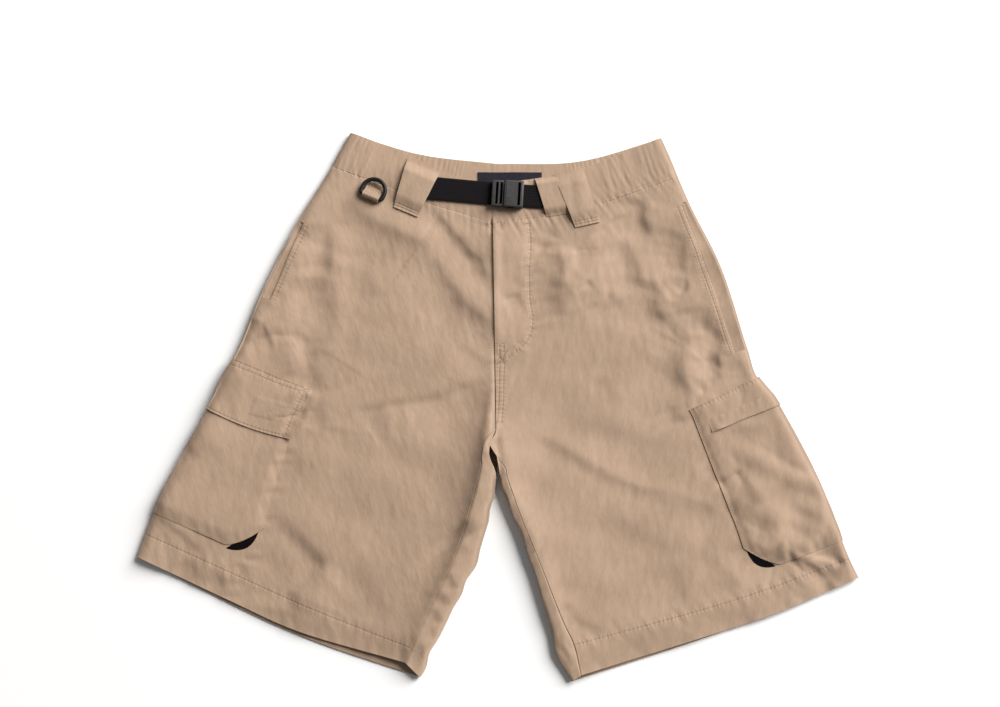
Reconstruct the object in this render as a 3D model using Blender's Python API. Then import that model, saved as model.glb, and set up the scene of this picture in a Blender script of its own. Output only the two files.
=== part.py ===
# Cargo shorts lying flat on their back, front side up. Blender 4.5, metres, +Z up.
# +Y runs from the hems to the waist. The wearer's right leg is on -X, their left leg on +X.
# The origin is on the floor under the middle of the garment. Sizes below are millimetres.

import bpy
import numpy as np
from math import atan2, cos, pi, radians, sin
from mathutils import Matrix

MM = 0.001
CLOTH = 1.2            # wall of one layer of cloth
HALF = CLOTH / 2
SEAM_GAP = 0.3         # between neighbouring pieces
HEM_EXTRA = 0.5        # a turned hem is thicker towards the inside
BAND_EXTRA = 0.8       # and so is the waistband's casing

FLOOR_LEVEL = HALF     # middle of the cloth that lies on the floor
TOP_LEVEL = 3.4        # middle of the upper cloth at the waistband's foot
THIGH_RAISE = 1.8      # it lies looser over the thighs
BAND_RISE = 1.4        # the waistband's many layers lift its front
LOWEST_TOP = 2.55      # the upper cloth sinks no lower than this on the lower one
EDGE_RADIUS = 5.0      # how far a fold turns in
OUTLINE_INSET = 1.4    # the folds lie inside the outline, which the pockets reach
FLY_LIP = 0.7          # the left front laps over the right one
FLY_WIDTH = 40.0
FLY_FOOT = -2.0        # x of the crotch seam below the fly
FLY_END = 52.0         # y where the fly's stitching turns in

POCKET_LIFT = CLOTH + SEAM_GAP
FLAP_LIFT = 2 * POCKET_LIFT
LEAF = 0.8             # mesh of the pocket's drain

TAUPE = (0.475, 0.335, 0.235)
TAUPE_DARK = (0.41, 0.285, 0.195)
BLACK_WEB = (0.012, 0.011, 0.012)
DARK_PLASTIC = (0.045, 0.042, 0.043)
BLACK_METAL = (0.012, 0.011, 0.012)
MESH_BLACK = (0.02, 0.02, 0.022)
LABEL_DARK = (0.03, 0.032, 0.045)

# Sections across one half of the garment, waist to hem. outer: the side fold. guide: the line
# of the belt loop's side and of the cargo pocket's front edge. middle: a point between. inner:
# the fly, then the inseam. edge: the fold inside the leg. seat: the back rise, then that same
# fold. back: a point of the back panel between them. slash: how far the hand pocket's mouth
# lies from the side fold. steps: rows up to the next section.
COLUMNS = ("at", "steps", "outer", "guide", "middle", "inner", "edge", "seat", "back", "slash")
RIGHT_SECTIONS = (
    ("band top", 3, (-168, 302), (-102, 276), (-64, 256), (-6, 241), (-6, 241), (-.3, 266), (-88, 277), 8),
    ("waist seam", 4, (-188, 262), (-111, 234), (-82, 221), (-6, 196), (-6, 196), (-.3, 228),
     (-98, 238), 8),
    ("slash top", 5, (-224, 198), (-141, 171), (-98, 157), (-5, 128), (-5, 128), (-.3, 152),
     (-110, 160), 8),
    ("slash end", 3, (-264, 112), (-183, 84), (-113, 66), (-3, 31), (-3, 31), (-.3, 45), (-130, 70), 13),
    ("crotch seam", 1, (-285, 55), (-199, 24), (-128, 1), (-2, -33), (-2, -33), (-.3, -20), (-140, 8), 8),
    ("flap top", 2, (-291, 42), (-204, 8), (-132, -14), (-9, -48), (-5, -52), (-.3, -40), (-145, -8), 8),
    ("notch", 2, (-306, 9), (-218, -23), (-143, -48), (-20, -82), (-2.4, -88), (-2.4, -88), (-150, -42), 8),
    ("flap bottom", 4, (-316, -13), (-226, -46), (-150, -72), (-27, -109), (-7, -115), (-7, -115),
     (-160, -66), 8),
    ("pocket middle", 4, (-345, -68), (-241, -98), (-163, -122), (-46, -170), (-24, -178),
     (-24, -178), (-180, -125), 8),
    ("pocket bottom", 2, (-371, -125), (-262, -172), (-186, -200), (-75, -232), (-54, -238),
     (-54, -238), (-205, -193), 8),
    ("hem stitch", 2, (-379, -148), (-276, -194), (-200, -227), (-92, -268), (-71, -272),
     (-71, -272), (-222, -226), 8),
    ("hem", 0, (-387, -172), (-285, -219), (-208, -252), (-98, -283), (-83, -298), (-83, -298),
     (-232, -251), 8),
)
LEFT_SECTIONS = (
    ("band top", 3, (185, 296), (98, 261), (53, 250), (-6, 241), (-6, 241), (.3, 266), (92, 269), 8),
    ("waist seam", 2, (203, 250), (109, 217), (78, 208), (-6, 196), (-6, 196), (.3, 228), (101, 234), 8),
    ("slash top", 5, (214, 222), (116, 191), (84, 181), (-5, 160), (-5, 160), (.3, 190), (105, 205), 8),
    ("slash middle", 5, (247, 150), (155, 123), (109, 110), (-4, 74), (-4, 74), (.3, 95), (125, 115), 16),
    ("slash end", 2, (275, 54), (192, 28), (134, 8), (-2, -33), (-2, -33), (.3, -15), (140, 20), 14),
    ("pocket top", 1, (285, 22), (208, -14), (150, -36), (-2, -66), (-1.6, -68), (.3, -50), (150, -18), 8),
    ("notch", 1, (291, 14), (212, -22), (153, -45), (8, -77), (2.4, -88), (2.4, -88), (155, -40), 8),
    ("welt top", 1, (299, 4), (215, -30), (158, -55), (10, -87), (4, -98), (4, -98), (158, -50), 8),
    ("welt bottom", 6, (306, -9), (220, -44), (162, -70), (15, -102), (9, -109), (9, -109), (164, -64), 8),
    ("pocket middle", 4, (348, -95), (252, -131), (190, -155), (49, -189), (41, -193), (41, -193),
     (200, -150), 8),
    ("pocket bottom", 1, (370, -155), (276, -190), (205, -216), (72, -246), (57, -250),
     (57, -250), (220, -203), 8),
    ("hem stitch", 2, (377, -174), (290, -206), (212, -230), (81, -265), (62, -272), (62, -272),
     (225, -227), 8),
    ("hem", 0, (386, -194), (298, -231), (217, -257), (88, -296), (78, -302), (78, -302), (235, -252), 8),
)
SPLIT_AT = ("waist seam", "slash top", "slash end")

# The largest creases of the upper cloth: a line, how far it bows to its left, its half width
# and its height. A crease sinks in where the height is below zero.
FOLDS = (
    # x0,   y0,   x1,   y1, bow, width, height
    (-186, 229, -87, 174, 4, 13, -0.8),
    (-87, 174, -7, 80, -5, 12, -0.8),
    (-166, 236, -65, 175, 7, 12, 1.5),
    (-65, 175, -6, 108, -4, 12, 1.5),
    (-186, 200, -196, 120, -3, 14, -0.8),
    (-196, 130, -200, 30, 8, 12, -0.7),
    (-159, 150, -122, 70, 0, 12, 1.2),
    (-60, 80, -3, 36, 0, 12, 1.1),
    (-236, 110, -214, 20, 0, 13, 1.3),
    (90, 176, 160, 214, 2, 12, 1.3),
    (122, 172, 150, 110, 0, 13, 1.2),
    (196, 175, 176, 98, 0, 13, 1.4),
    (244, 70, 205, 8, -1, 12, 1.5),
    (202, 78, 186, 0, -12, 13, -0.8),
    (75, 180, 80, 80, -5, 13, 1.1),
    (-165, -20, -80, 6, 14, 12, 1.2),
    (-210, -150, -235, -205, 0, 12, 1.0),
    (-70, -100, -150, -165, 0, 13, 1.2),
    (35, -40, 233, -126, -8, 13, -0.8),
    (45, -24, 232, -98, -8, 14, 1.8),
    (112, -118, 252, -168, -12, 13, 1.5),
    (105, -16, 190, -44, -5, 12, 1.2),
    (110, -150, 214, -206, 4, 14, 1.1),
    (330, -82, 290, -150, 0, 13, 1.2),
    (-330, -60, -300, -140, 0, 14, 0.9),
)

# Gathers that the elastic draws in each piece of the waistband, and three pleats in the left
# front: from and to, in mm along the piece from its side fold (the back's from the right one),
# how many, and how far they rise.
GATHERS = {
    "waistband_front_right": ((5, 39, 6, 0.8),),
    "waistband_front_left": ((5, 36, 5, 0.8), (40, 88, 3, 1.2)),
    "waistband_back": ((12, 160, 21, 0.9), (245, 384, 20, 0.9)),
}
GATHER_CELLS = {"waistband_front_right": 4, "waistband_front_left": 4, "waistband_back": 2}

# How each fold of the garment's sides stands up along its length: the place along y, the height
# of the fold's middle, how far from it the crest beside it lies, how far that takes to sink
# beyond, and its height above the cloth.
PUFFS = {
    "right outer": ((300, 3.2, 7, 30, 1.8), (200, 4.2, 8, 30, 2.2), (0, 4.6, 9, 32, 2.6),
                    (-175, 3.5, 8, 26, 2.2)),
    "left outer": ((300, 3.1, 7, 30, 1.6), (0, 3.4, 8, 32, 2.2), (-195, 3.1, 8, 26, 2.0)),
    "right inner": ((30, 3.1, 3, 20, 0), (-36, 3.4, 3, 22, 2.0), (-88, 4.6, 14, 20, 5.0),
                    (-150, 5.0, 22, 19, 5.2),
                    (-210, 4.2, 22, 18, 4.0), (-298, 3.2, 18, 16, 2.6)),
    "left inner": ((30, 3.1, 3, 34, 0), (-36, 3.4, 3, 38, 2.0), (-88, 6.0, 8, 42, 5.6),
                   (-150, 7.2, 9, 42, 6.0),
                   (-215, 6.6, 10, 36, 4.6), (-302, 3.8, 10, 28, 2.4)),
}


def smooth(knots, values, at):
    """Curve through values at the knots, whose slope at each comes from its two neighbours."""
    knots, values, at = np.asarray(knots, float), np.asarray(values, float), np.asarray(at, float)
    step = np.diff(knots)[:, None]
    rise = np.diff(values, axis=0) / step
    slope = np.vstack([rise[:1], rise[:1].repeat(len(knots) - 2, 0), rise[-1:]])
    slope[1:-1] = (rise[:-1] * step[1:] + rise[1:] * step[:-1]) / (step[1:] + step[:-1])
    i = np.clip(np.searchsorted(knots, at, side="right") - 1, 0, len(knots) - 2)
    h = (knots[i + 1] - knots[i])[:, None]
    f = (at - knots[i])[:, None] / h
    start = values[i] * (1 + 2 * f) * (1 - f) ** 2 + slope[i] * h * f * (1 - f) ** 2
    return start + values[i + 1] * f * f * (3 - 2 * f) - slope[i + 1] * h * f * f * (1 - f)


def along_row(points, q):
    """Points q of the way through each row's control points (one q for each row)."""
    points = np.stack(points)
    rise = np.diff(points, axis=0)
    slope = np.concatenate([rise[:1], (rise[:-1] + rise[1:]) / 2, rise[-1:]])
    i = np.clip(np.floor(q).astype(int), 0, len(points) - 2)
    row = np.arange(points.shape[1])
    f = (q - i)[:, None]
    a, b, sa, sb = points[i, row], points[i + 1, row], slope[i, row], slope[i + 1, row]
    return (a * (1 + 2 * f) * (1 - f) ** 2 + sa * f * (1 - f) ** 2
            + b * f * f * (3 - 2 * f) - sb * f * f * (1 - f))


def unit(v):
    return v / np.maximum(np.linalg.norm(v, axis=-1, keepdims=True), 1e-9)


def section_rows(table):
    """The table's columns, each read at every row. A split section gives a row on each side of
    its seam."""
    outer = np.array([row[2] for row in table], float)
    knots = np.concatenate([[0], np.cumsum(np.linalg.norm(np.diff(outer, axis=0), axis=1))])
    at, row_of = [], {}
    for k, section in enumerate(table):
        row_of[section[0]] = len(at)
        if section[0] in SPLIT_AT:
            at += [knots[k] - SEAM_GAP / 2, knots[k] + SEAM_GAP / 2]
        else:
            at.append(knots[k])
        if section[1]:
            at += list(np.linspace(knots[k], knots[k + 1], section[1] + 1)[1:-1])
    rows = {}
    for c, name in enumerate(COLUMNS[2:-1], 2):
        rows[name] = smooth(knots, [row[c] for row in table], at)
    rows["slash"] = smooth(knots, [[row[-1]] for row in table], at)[:, 0]
    upper = np.arange(len(at)) <= row_of.get("crotch seam", row_of["slash end"] + 1)
    rows["inner"][upper, 0] = fly_x(rows["inner"][upper, 1])
    rows["edge"][upper] = rows["inner"][upper]
    rows["rolled"] = (np.arange(len(at)) >= row_of["notch"]).astype(float)
    side = np.sign(table[0][2][0])
    for name in ("inner", "edge"):
        x, y = rows[name].T
        rows[name][:, 0] = side * np.maximum(side * x, side * fly_x(y))
    rows["seat"][:, 0] = side * np.maximum(side * rows["seat"][:, 0], SEAM_GAP)
    return rows, row_of


def fly_x(y):
    """The fly's edge and the front seam under it: one nearly straight line."""
    return -6 + 4 * np.clip((208 - y) / 241, 0, 1)


def distance(line, x, y):
    """How far each point lies from a line of points."""
    a, b = line[:-1], line[1:]
    ab = b - a
    px, py = x[..., None] - a[:, 0], y[..., None] - a[:, 1]
    f = np.clip((px * ab[:, 0] + py * ab[:, 1]) / (ab ** 2).sum(1), 0, 1)
    return np.hypot(px - f * ab[:, 0], py - f * ab[:, 1]).min(-1)


def soft_step(x):
    x = np.clip(x, 0, 1)
    return x * x * (3 - 2 * x)


def fold_measures(name, y):
    """A side fold at the places y: stand of its middle, crest's distance, fall and height."""
    places = np.array(PUFFS[name][::-1], float)
    return [np.interp(y, places[:, 0], column) for column in places[:, 1:].T]


def upper_level(x, y):
    """Height of the middle of the upper cloth: its level, the sides' folds and the creases."""
    level = TOP_LEVEL + BAND_RISE * soft_step((y - 150) / 55)
    level = level + THIGH_RAISE * soft_step((205 - y) / 45)
    share = soft_step((x - fly_x(y) + 5) / 10)
    outer, inner = np.zeros_like(x), np.zeros_like(x)
    for name in PUFFS:
        away = distance(FOLD_LINES[name], x, y) - OUTLINE_INSET
        _, crest, fall, height = fold_measures(name, y)
        width = np.where(away < crest, np.maximum(crest, 9), fall)
        bulge = height * np.exp(-((away - crest) / width) ** 2)
        if name.endswith("outer"):
            outer = np.maximum(outer, bulge)
        else:
            inner = inner + bulge * (share if name.startswith("left") else 1 - share)
    puff = np.maximum(outer, inner)
    crease = np.zeros_like(x)
    for x0, y0, x1, y1, bow, width, height in FOLDS:
        length = np.hypot(x1 - x0, y1 - y0)
        ux, uy = (x1 - x0) / length, (y1 - y0) / length
        f = ((x - x0) * ux + (y - y0) * uy) / length
        across = (y - y0) * ux - (x - x0) * uy - 4 * bow * f * (1 - f)
        fade = soft_step(f / 0.3 + 0.3) * soft_step((1 - f) / 0.3 + 0.3)
        crease = crease + height * fade * np.exp(-(across / width) ** 2)
    calm = soft_step((212 - y) / 30)
    lip = FLY_LIP * (x > fly_x(y)) * soft_step((fly_x(y) + FLY_WIDTH - x) / 8)
    lip = lip * soft_step((y - FLY_END) / 20 + 1)
    level = level + puff + crease * calm
    return LOWEST_TOP + 0.5 * np.logaddexp(0, (level - LOWEST_TOP) / 0.5) + lip


def grid_normals(points, cells, side):
    """Outward normals of a grid, from the faces that meet at each point."""
    down = points[1:, 1:] - points[:-1, :-1]
    up = points[:-1, 1:] - points[1:, :-1]
    face = np.cross(down, up) * (-side) * cells[..., None]
    normal = np.zeros_like(points)
    for rows in (slice(None, -1), slice(1, None)):
        for columns in (slice(None, -1), slice(1, None)):
            normal[rows, columns] += face
    flat = np.linalg.norm(normal, axis=-1) < 1e-9
    normal[flat] = (0, 0, 1)
    return unit(normal)


class Half:
    """One half of the garment as one closed ring of cloth in each row: from the side fold over
    the top to the inside of the leg, and back along the floor."""

    def __init__(self, side, table):
        self.side = side
        self.rows, self.row_of = section_rows(table)
        self.columns, self.mark = [], {}
        self.lay_top()
        self.lay_leg_fold()
        self.lay_floor()
        self.points = np.stack(self.columns, axis=1)
        shape = (len(self.points) - 1, len(self.columns) - 1)
        whole = np.ones(shape, bool)
        turn = self.mark["leg fold"] - 1
        whole[:self.row_of["notch"], turn] = False
        self.normals = grid_normals(self.points, whole, side)
        self.share_normals()

    def add(self, xy, z, mark=None):
        if mark:
            self.mark[mark] = len(self.columns)
        self.columns.append(np.column_stack([xy, np.broadcast_to(z, len(xy))]))

    def add_top(self, xy, mark=None):
        self.add(xy, upper_level(xy[:, 0], xy[:, 1]), mark)

    def lay_top(self):
        r = self.rows
        line = (r["outer"], r["guide"], r["middle"], r["inner"])
        self.inward = unit(r["guide"] - r["outer"])
        self.fold = r["outer"] + self.inward * OUTLINE_INSET
        who = "right" if self.side < 0 else "left"
        self.stand = fold_measures(who + " outer", r["outer"][:, 1])[0]
        self.leg_stand = fold_measures(who + " inner", r["edge"][:, 1])[0]
        crest = self.fold + self.inward * EDGE_RADIUS
        top = upper_level(crest[:, 0], crest[:, 1])
        for angle in (0, 30, 60, 90):
            a = radians(angle)
            xy = self.fold + self.inward * EDGE_RADIUS * (1 - cos(a))
            gap = SEAM_GAP / 2 if angle == 0 else 0
            self.add(xy, self.stand + gap + (top - self.stand) * sin(a))
        width = np.linalg.norm(r["guide"] - r["outer"], axis=1)
        self.add_top(along_row(line, (r["slash"] - SEAM_GAP / 2) / width), "slash")
        start = (r["slash"] + SEAM_GAP / 2) / width
        for part in np.linspace(0, 1, 7):
            mark = "guide" if part == 1 else None
            self.add_top(along_row(line, start + (1 - start) * part), mark)
        for q in (1.33, 1.67, 2, 2.2, 2.4, 2.6, 2.75, 2.86, 2.94):
            self.add_top(along_row(line, np.full(len(start), q)))
        self.along = unit(r["inner"] - r["middle"])
        self.add_top(r["inner"] - self.along * SEAM_GAP / 2, "inseam")

    def lay_leg_fold(self):
        r = self.rows
        width = np.linalg.norm(r["edge"] - r["inner"], axis=1)
        inward = np.where(width[:, None] > 1, unit(r["inner"] - r["edge"]), -self.along)
        radius = np.clip(width * 0.5, 0.1, EDGE_RADIUS)[:, None]
        start = r["inner"] + self.along * SEAM_GAP / 2
        crest = r["edge"] + inward * radius
        top = upper_level(crest[:, 0], crest[:, 1])
        self.add_top(start)
        self.add_top((start + crest) / 2)
        for angle in (90, 60, 30):
            a = radians(angle)
            rolled = self.leg_stand + (top - self.leg_stand) * sin(a)
            z = r["rolled"] * rolled + (1 - r["rolled"]) * top
            self.add(r["edge"] + inward * radius * (1 - cos(a)), z)
        self.strip_width = width
        inward = unit(r["back"] - r["seat"])
        radius = np.where(r["rolled"] > 0, radius[:, 0], EDGE_RADIUS)[:, None]
        for angle in (0, -30, -60, -90):
            a = radians(angle)
            z = FLOOR_LEVEL + r["rolled"] * (self.leg_stand - FLOOR_LEVEL) * (1 + sin(a))
            xy = r["seat"] + inward * radius * (1 - cos(a))
            self.add(xy, z, "leg fold" if angle == 0 else None)

    def lay_floor(self):
        r = self.rows
        line = (r["seat"], r["back"], r["outer"])
        for q in (0.35, 0.7, 1, 1.3, 1.65):
            self.add(along_row(line, np.full(len(r["seat"]), q)), FLOOR_LEVEL)
        for angle in (-90, -60, -30, 0):
            a = radians(angle)
            xy = self.fold + self.inward * EDGE_RADIUS * (1 - cos(a))
            gap = SEAM_GAP / 2 if angle == 0 else 0
            self.add(xy, FLOOR_LEVEL + (self.stand - gap - FLOOR_LEVEL) * (1 + sin(a)))

    def share_normals(self):
        """Both lips of a seam lean the same way, so the seam keeps its gap."""
        n = self.normals
        for a, b in ((self.mark["slash"], self.mark["slash"] + 1),
                     (self.mark["inseam"], self.mark["inseam"] + 1), (0, -1)):
            n[:, a] = n[:, b] = unit(n[:, a] + n[:, b])
        for name in SPLIT_AT:
            a = self.row_of[name]
            n[a] = n[a + 1] = unit(n[a] + n[a + 1])

    def blank(self):
        return np.zeros((self.points.shape[0] - 1, self.points.shape[1] - 1), bool)

    def inside(self):
        """Thickness towards the inside: more in the hem."""
        stitch = self.row_of["hem stitch"]
        rows = np.arange(len(self.points))[:, None]
        return np.where(rows > stitch, HALF + HEM_EXTRA, HALF) * np.ones(self.points.shape[:2])


def add_mesh(name, points, faces, colour, roughness=0.8):
    """A named object with its own material. Points are in millimetres."""
    mesh = bpy.data.meshes.new(name)
    mesh.from_pydata((np.asarray(points) * MM).tolist(), [], faces)
    mesh.update()
    thing = bpy.data.objects.new(name, mesh)
    bpy.context.scene.collection.objects.link(thing)
    finish(thing, colour, roughness)
    return thing


def finish(thing, colour, roughness, metallic=0.0):
    material = bpy.data.materials.new(thing.name)
    material.use_nodes = True
    shader = material.node_tree.nodes["Principled BSDF"]
    shader.inputs["Base Color"].default_value = (*colour, 1)
    shader.inputs["Roughness"].default_value = roughness
    shader.inputs["Metallic"].default_value = metallic
    thing.data.materials.clear()
    thing.data.materials.append(material)


def wall(name, points, normals, cells, side, inside=HALF, outside=HALF, colour=TAUPE):
    """A closed wall of cloth over the chosen cells of a grid: its outer face, its inner face and
    a rim round every edge. Each cell is cut along the same diagonal, on every layer."""
    shape = points.shape[:2]
    inside = np.broadcast_to(inside, shape)[..., None]
    outside = np.broadcast_to(outside, shape)[..., None]
    outer = (points + normals * outside).reshape(-1, 3)
    inner = (points - normals * inside).reshape(-1, 3)
    count = len(outer)
    number = np.arange(count).reshape(shape)
    faces = []
    on = np.pad(cells, 1)
    for i, j in zip(*np.nonzero(cells)):
        a, b, c, d = number[i, j], number[i, j + 1], number[i + 1, j + 1], number[i + 1, j]
        ring = [a, b, c, d] if side > 0 else [a, d, c, b]
        faces += [(ring[0], ring[1], ring[2]), (ring[0], ring[2], ring[3])]
        low = [v + count for v in ring]
        faces += [(low[0], low[2], low[1]), (low[0], low[3], low[2])]
        edges = [(a, b, on[i, j + 1]), (b, c, on[i + 1, j + 2]),
                 (c, d, on[i + 2, j + 1]), (d, a, on[i + 1, j])]
        for p, q, joined in edges:
            if joined:
                continue
            if side < 0:
                p, q = q, p
            faces += [(q, p, p + count), (q, p + count, q + count)]
    used = np.unique(np.array(faces))
    place = np.zeros(2 * count, int)
    place[used] = np.arange(len(used))
    corners = np.vstack([outer, inner])[used]
    return add_mesh(name, corners, [tuple(place[list(f)].tolist()) for f in faces], colour)


def panels(half, who):
    """Front, back, waistband front and the hand pocket's facing of one half."""
    rows, mark = half.row_of, half.mark
    seam = rows["waist seam"]
    slash, inseam = mark["slash"], mark["inseam"]
    mouth = slice(rows["slash top"], rows["slash end"] + 1)

    strip = (slice(0, seam + 1), slice(0, inseam + 1))
    band("waistband_front_" + who, half.points[strip], half.normals[strip], half.side, "outside")

    front = half.blank()
    front[seam + 1:, :inseam] = True
    front[mouth, :slash + 1] = False
    wall("front_" + who, half.points, half.normals, front, half.side, inside=half.inside())

    facing = half.blank()
    facing[rows["slash top"] + 1:rows["slash end"], :slash] = True
    wall("pocket_facing_" + who, half.points, half.normals, facing, half.side,
         colour=TAUPE_DARK)

    back = half.blank()
    fold = mark["leg fold"]
    back[seam + 1:, fold:] = True
    strip = int(np.argmax(half.strip_width > 3.2))
    back[strip:, inseam + 1:fold - 1] = True
    back[rows["notch"]:, fold - 1] = True
    wall("back_" + who, half.points, half.normals, back, half.side, inside=half.inside())


def gather_height(along, zones):
    """Height of the gathers: waves of uneven pitch that die out at the ends of their zone."""
    height = np.zeros_like(along)
    for start, end, count, rise in zones:
        f = np.clip((along - start) / (end - start), 0, 1)
        uneven = f + 0.35 / count * np.sin(2 * pi * f) * np.sin(9 * f + count)
        height += rise * np.sin(pi * count * uneven) ** 2 * soft_step(6 * f) * soft_step(6 - 6 * f)
    return height


def band(name, points, normals, side, face):
    """A piece of the waistband, its columns spaced again so that the gathers have enough. They
    rise on the outer face of the front and on the inner face of the back."""
    zones, cells = GATHERS[name], GATHER_CELLS[name]
    middle = points[len(points) // 2]
    knots = np.concatenate([[0], np.cumsum(np.linalg.norm(np.diff(middle, axis=0), axis=1))])
    at = set(knots[(knots < zones[0][0]) | (knots > zones[-1][1])])
    for start, end, count, _ in zones:
        at |= set(np.linspace(start, end, count * cells + 1))
    at = np.array(sorted(at))
    at = at[np.concatenate([[True], np.diff(at) > 0.2])]
    at[-1] = knots[-1]
    rows = len(points)
    fine = [np.stack([[np.interp(at, knots, row[:, k]) for k in range(3)] for row in grid])
            .transpose(0, 2, 1) for grid in (points, normals)]
    rise = gather_height(at, zones)[None, :] * np.ones((rows, 1))
    thick = {"outside": HALF, "inside": HALF + BAND_EXTRA}
    thick[face] = thick[face] + rise
    wall(name, fine[0], unit(fine[1]), np.ones((rows - 1, len(at) - 1), bool), side, **thick)


def waistband_back(right, left):
    """The back of the waistband, one piece from side fold to side fold."""
    fold_r, fold_l = right.mark["leg fold"], left.mark["leg fold"]
    top = right.row_of["waist seam"] + 1
    keep_r = [fold_r] + list(range(fold_r + 4, len(right.columns)))
    keep_l = [fold_l] + list(range(fold_l + 4, len(left.columns)))
    a, b = right.points[:top, keep_r][:, ::-1], left.points[:top, keep_l]
    na, nb = right.normals[:top, keep_r][:, ::-1], left.normals[:top, keep_l]
    middle = (a[:, -1:] + b[:, :1]) / 2
    middle[..., 0] = 0
    points = np.concatenate([a[:, :-1], middle, b[:, 1:]], axis=1)
    normals = np.concatenate([na[:, :-1], nb[:, :1], nb[:, 1:]], axis=1)
    band("waistband_back", points, normals, 1, "inside")


def overlay(name, half, top, bottom, first, last, lift, gusset=None):
    """A piece that lies on the panel: the panel's own points between two sections and two
    columns, moved out. Where a gusset is named, the piece's lower front corner is cut off and a
    leaf of mesh fills it."""
    rows = list(range(half.row_of[top], half.row_of[bottom] + 1))
    columns = [c for c in range(max(first, 0), last + 1) if c != half.mark["slash"] + 1]
    if first < 0:
        columns.insert(0, len(half.columns) - 2)
    panel = half.points[np.ix_(rows, columns)]
    normals = half.normals[np.ix_(rows, columns)]
    cells = np.ones((len(rows) - 1, len(columns) - 1), bool)
    piece = panel + normals * lift
    if gusset:
        corner = piece[-1, -1].copy()
        start, end = piece[-2, -1], piece[-1, -2]
        piece[-1, -1] = (start + end) / 2
        leaf(gusset, start, end, corner, half.side)
    wall(name, piece, normals, cells, half.side)


def leaf(name, start, end, corner, side):
    """Mesh between two arcs: one along the line from start to end, one bulging to the corner."""
    f = np.linspace(0.06, 0.94, 9)[:, None]
    across = corner - (start + end) / 2
    tall = np.linalg.norm(across)
    near = np.full_like(f, 0.7 / tall)
    far = near + 0.7 / tall + 0.5 * 4 * f * (1 - f)
    u = np.array((0.0, 0.5, 1.0))[None, :, None]
    reach = near[:, None] * (1 - u) + far[:, None] * u
    points = (start + (end - start) * f)[:, None, :] + across * reach
    points[..., 2] -= 0.1
    normals = np.zeros_like(points)
    normals[..., 2] = 1
    wall(name, points, normals, np.ones((8, 2), bool), side, LEAF / 2, LEAF / 2, MESH_BLACK)


def patch(name, corners, across, along, lift, thick=CLOTH, colour=TAUPE, profile=None):
    """A small four-sided piece over the upper cloth. corners run round from the upper left;
    lift is the height of its middle over the cloth's, profile adds to it down its length."""
    a, b, c, d = (np.array(p, float) for p in corners)
    u = np.linspace(0, 1, across + 1)[None, :, None]
    v = np.linspace(0, 1, along + 1)[:, None, None]
    xy = (1 - v) * ((1 - u) * a + u * b) + v * ((1 - u) * d + u * c)
    z = upper_level(xy[..., 0], xy[..., 1]) + lift
    if profile is not None:
        z = profile(z, xy, v[..., 0])
    points = np.dstack([xy, z])
    cells = np.ones((along, across), bool)
    normals = np.zeros_like(points)
    normals[..., 2] = 1
    return wall(name, points, normals, cells, -1, thick / 2, thick / 2, colour)


# Belt: webbing, in at the loops and through the buckle
WEB_WIDTH = 26.0
WEB_THICK = 1.8
WEB_LEVEL = 7.5        # middle of the webbing over the waistband
WEB_TOP = WEB_LEVEL + WEB_THICK / 2 + SEAM_GAP
BUCKLE_AT = (6.0, 228.6)
BUCKLE_TURN = radians(-3.5)
LONG_WEB_TURN = radians(-5.5)
LONG_WEB = (-96.0, -9.5)       # its ends, from the seam between the buckle's halves
SHORT_WEB = (16.6, 58.0)


def web_strip(name, ends, turn):
    """A flat stretch of webbing that runs through the buckle's middle."""
    along = np.array((cos(turn), sin(turn)))
    across = np.array((-sin(turn), cos(turn))) * WEB_WIDTH
    u = np.linspace(*ends, 5)[None, :, None]
    v = np.linspace(0.5, -0.5, 3)[:, None, None]
    xy = np.array(BUCKLE_AT) + u * along + v * across
    points = np.dstack([xy, np.full(xy.shape[:2], WEB_LEVEL)])
    normals = np.zeros_like(points)
    normals[..., 2] = 1
    cells = np.ones((2, 4), bool)
    wall(name, points, normals, cells, -1, WEB_THICK / 2, WEB_THICK / 2, BLACK_WEB)


def loop_profile(z, xy, v):
    """A belt loop rises over the webbing and comes down to the waistband at both ends."""
    over = WEB_TOP + HALF + 0.3
    hump = soft_step(v / 0.16) * soft_step((0.92 - v) / 0.2)
    return z * (1 - hump) + np.maximum(over, z) * hump


def belt():
    web_strip("belt_webbing_long", LONG_WEB, LONG_WEB_TURN)
    web_strip("belt_webbing_short", SHORT_WEB, BUCKLE_TURN)
    patch("belt_loop_right", ((-101, 272), (-65, 255.5), (-90, 203), (-117, 214)), 3, 8,
          CLOTH + SEAM_GAP + 0.35, profile=loop_profile)
    patch("belt_loop_left", ((62, 252), (95, 260), (113, 197), (86, 191)), 3, 8,
          CLOTH + SEAM_GAP + 0.35, profile=loop_profile)
    over = WEB_TOP + HALF
    patch("belt_casing_left", ((42.5, 241.5), (62.5, 245), (76.5, 211), (52.5, 208)), 2, 5,
          CLOTH + SEAM_GAP + 0.3,
          profile=lambda z, xy, v: np.full_like(z, over))
    buckle()


def block(size, centre, bevel=0.0):
    """A box as an object, its edges rounded."""
    bpy.ops.mesh.primitive_cube_add(size=1)
    thing = bpy.context.object
    thing.data.transform(Matrix.Diagonal((*[s * MM for s in size], 1)))
    thing.data.transform(Matrix.Translation([c * MM for c in centre]))
    if bevel:
        rounding = thing.modifiers.new("edges", "BEVEL")
        rounding.width = bevel * MM
        rounding.segments = 2
    return thing


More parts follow.
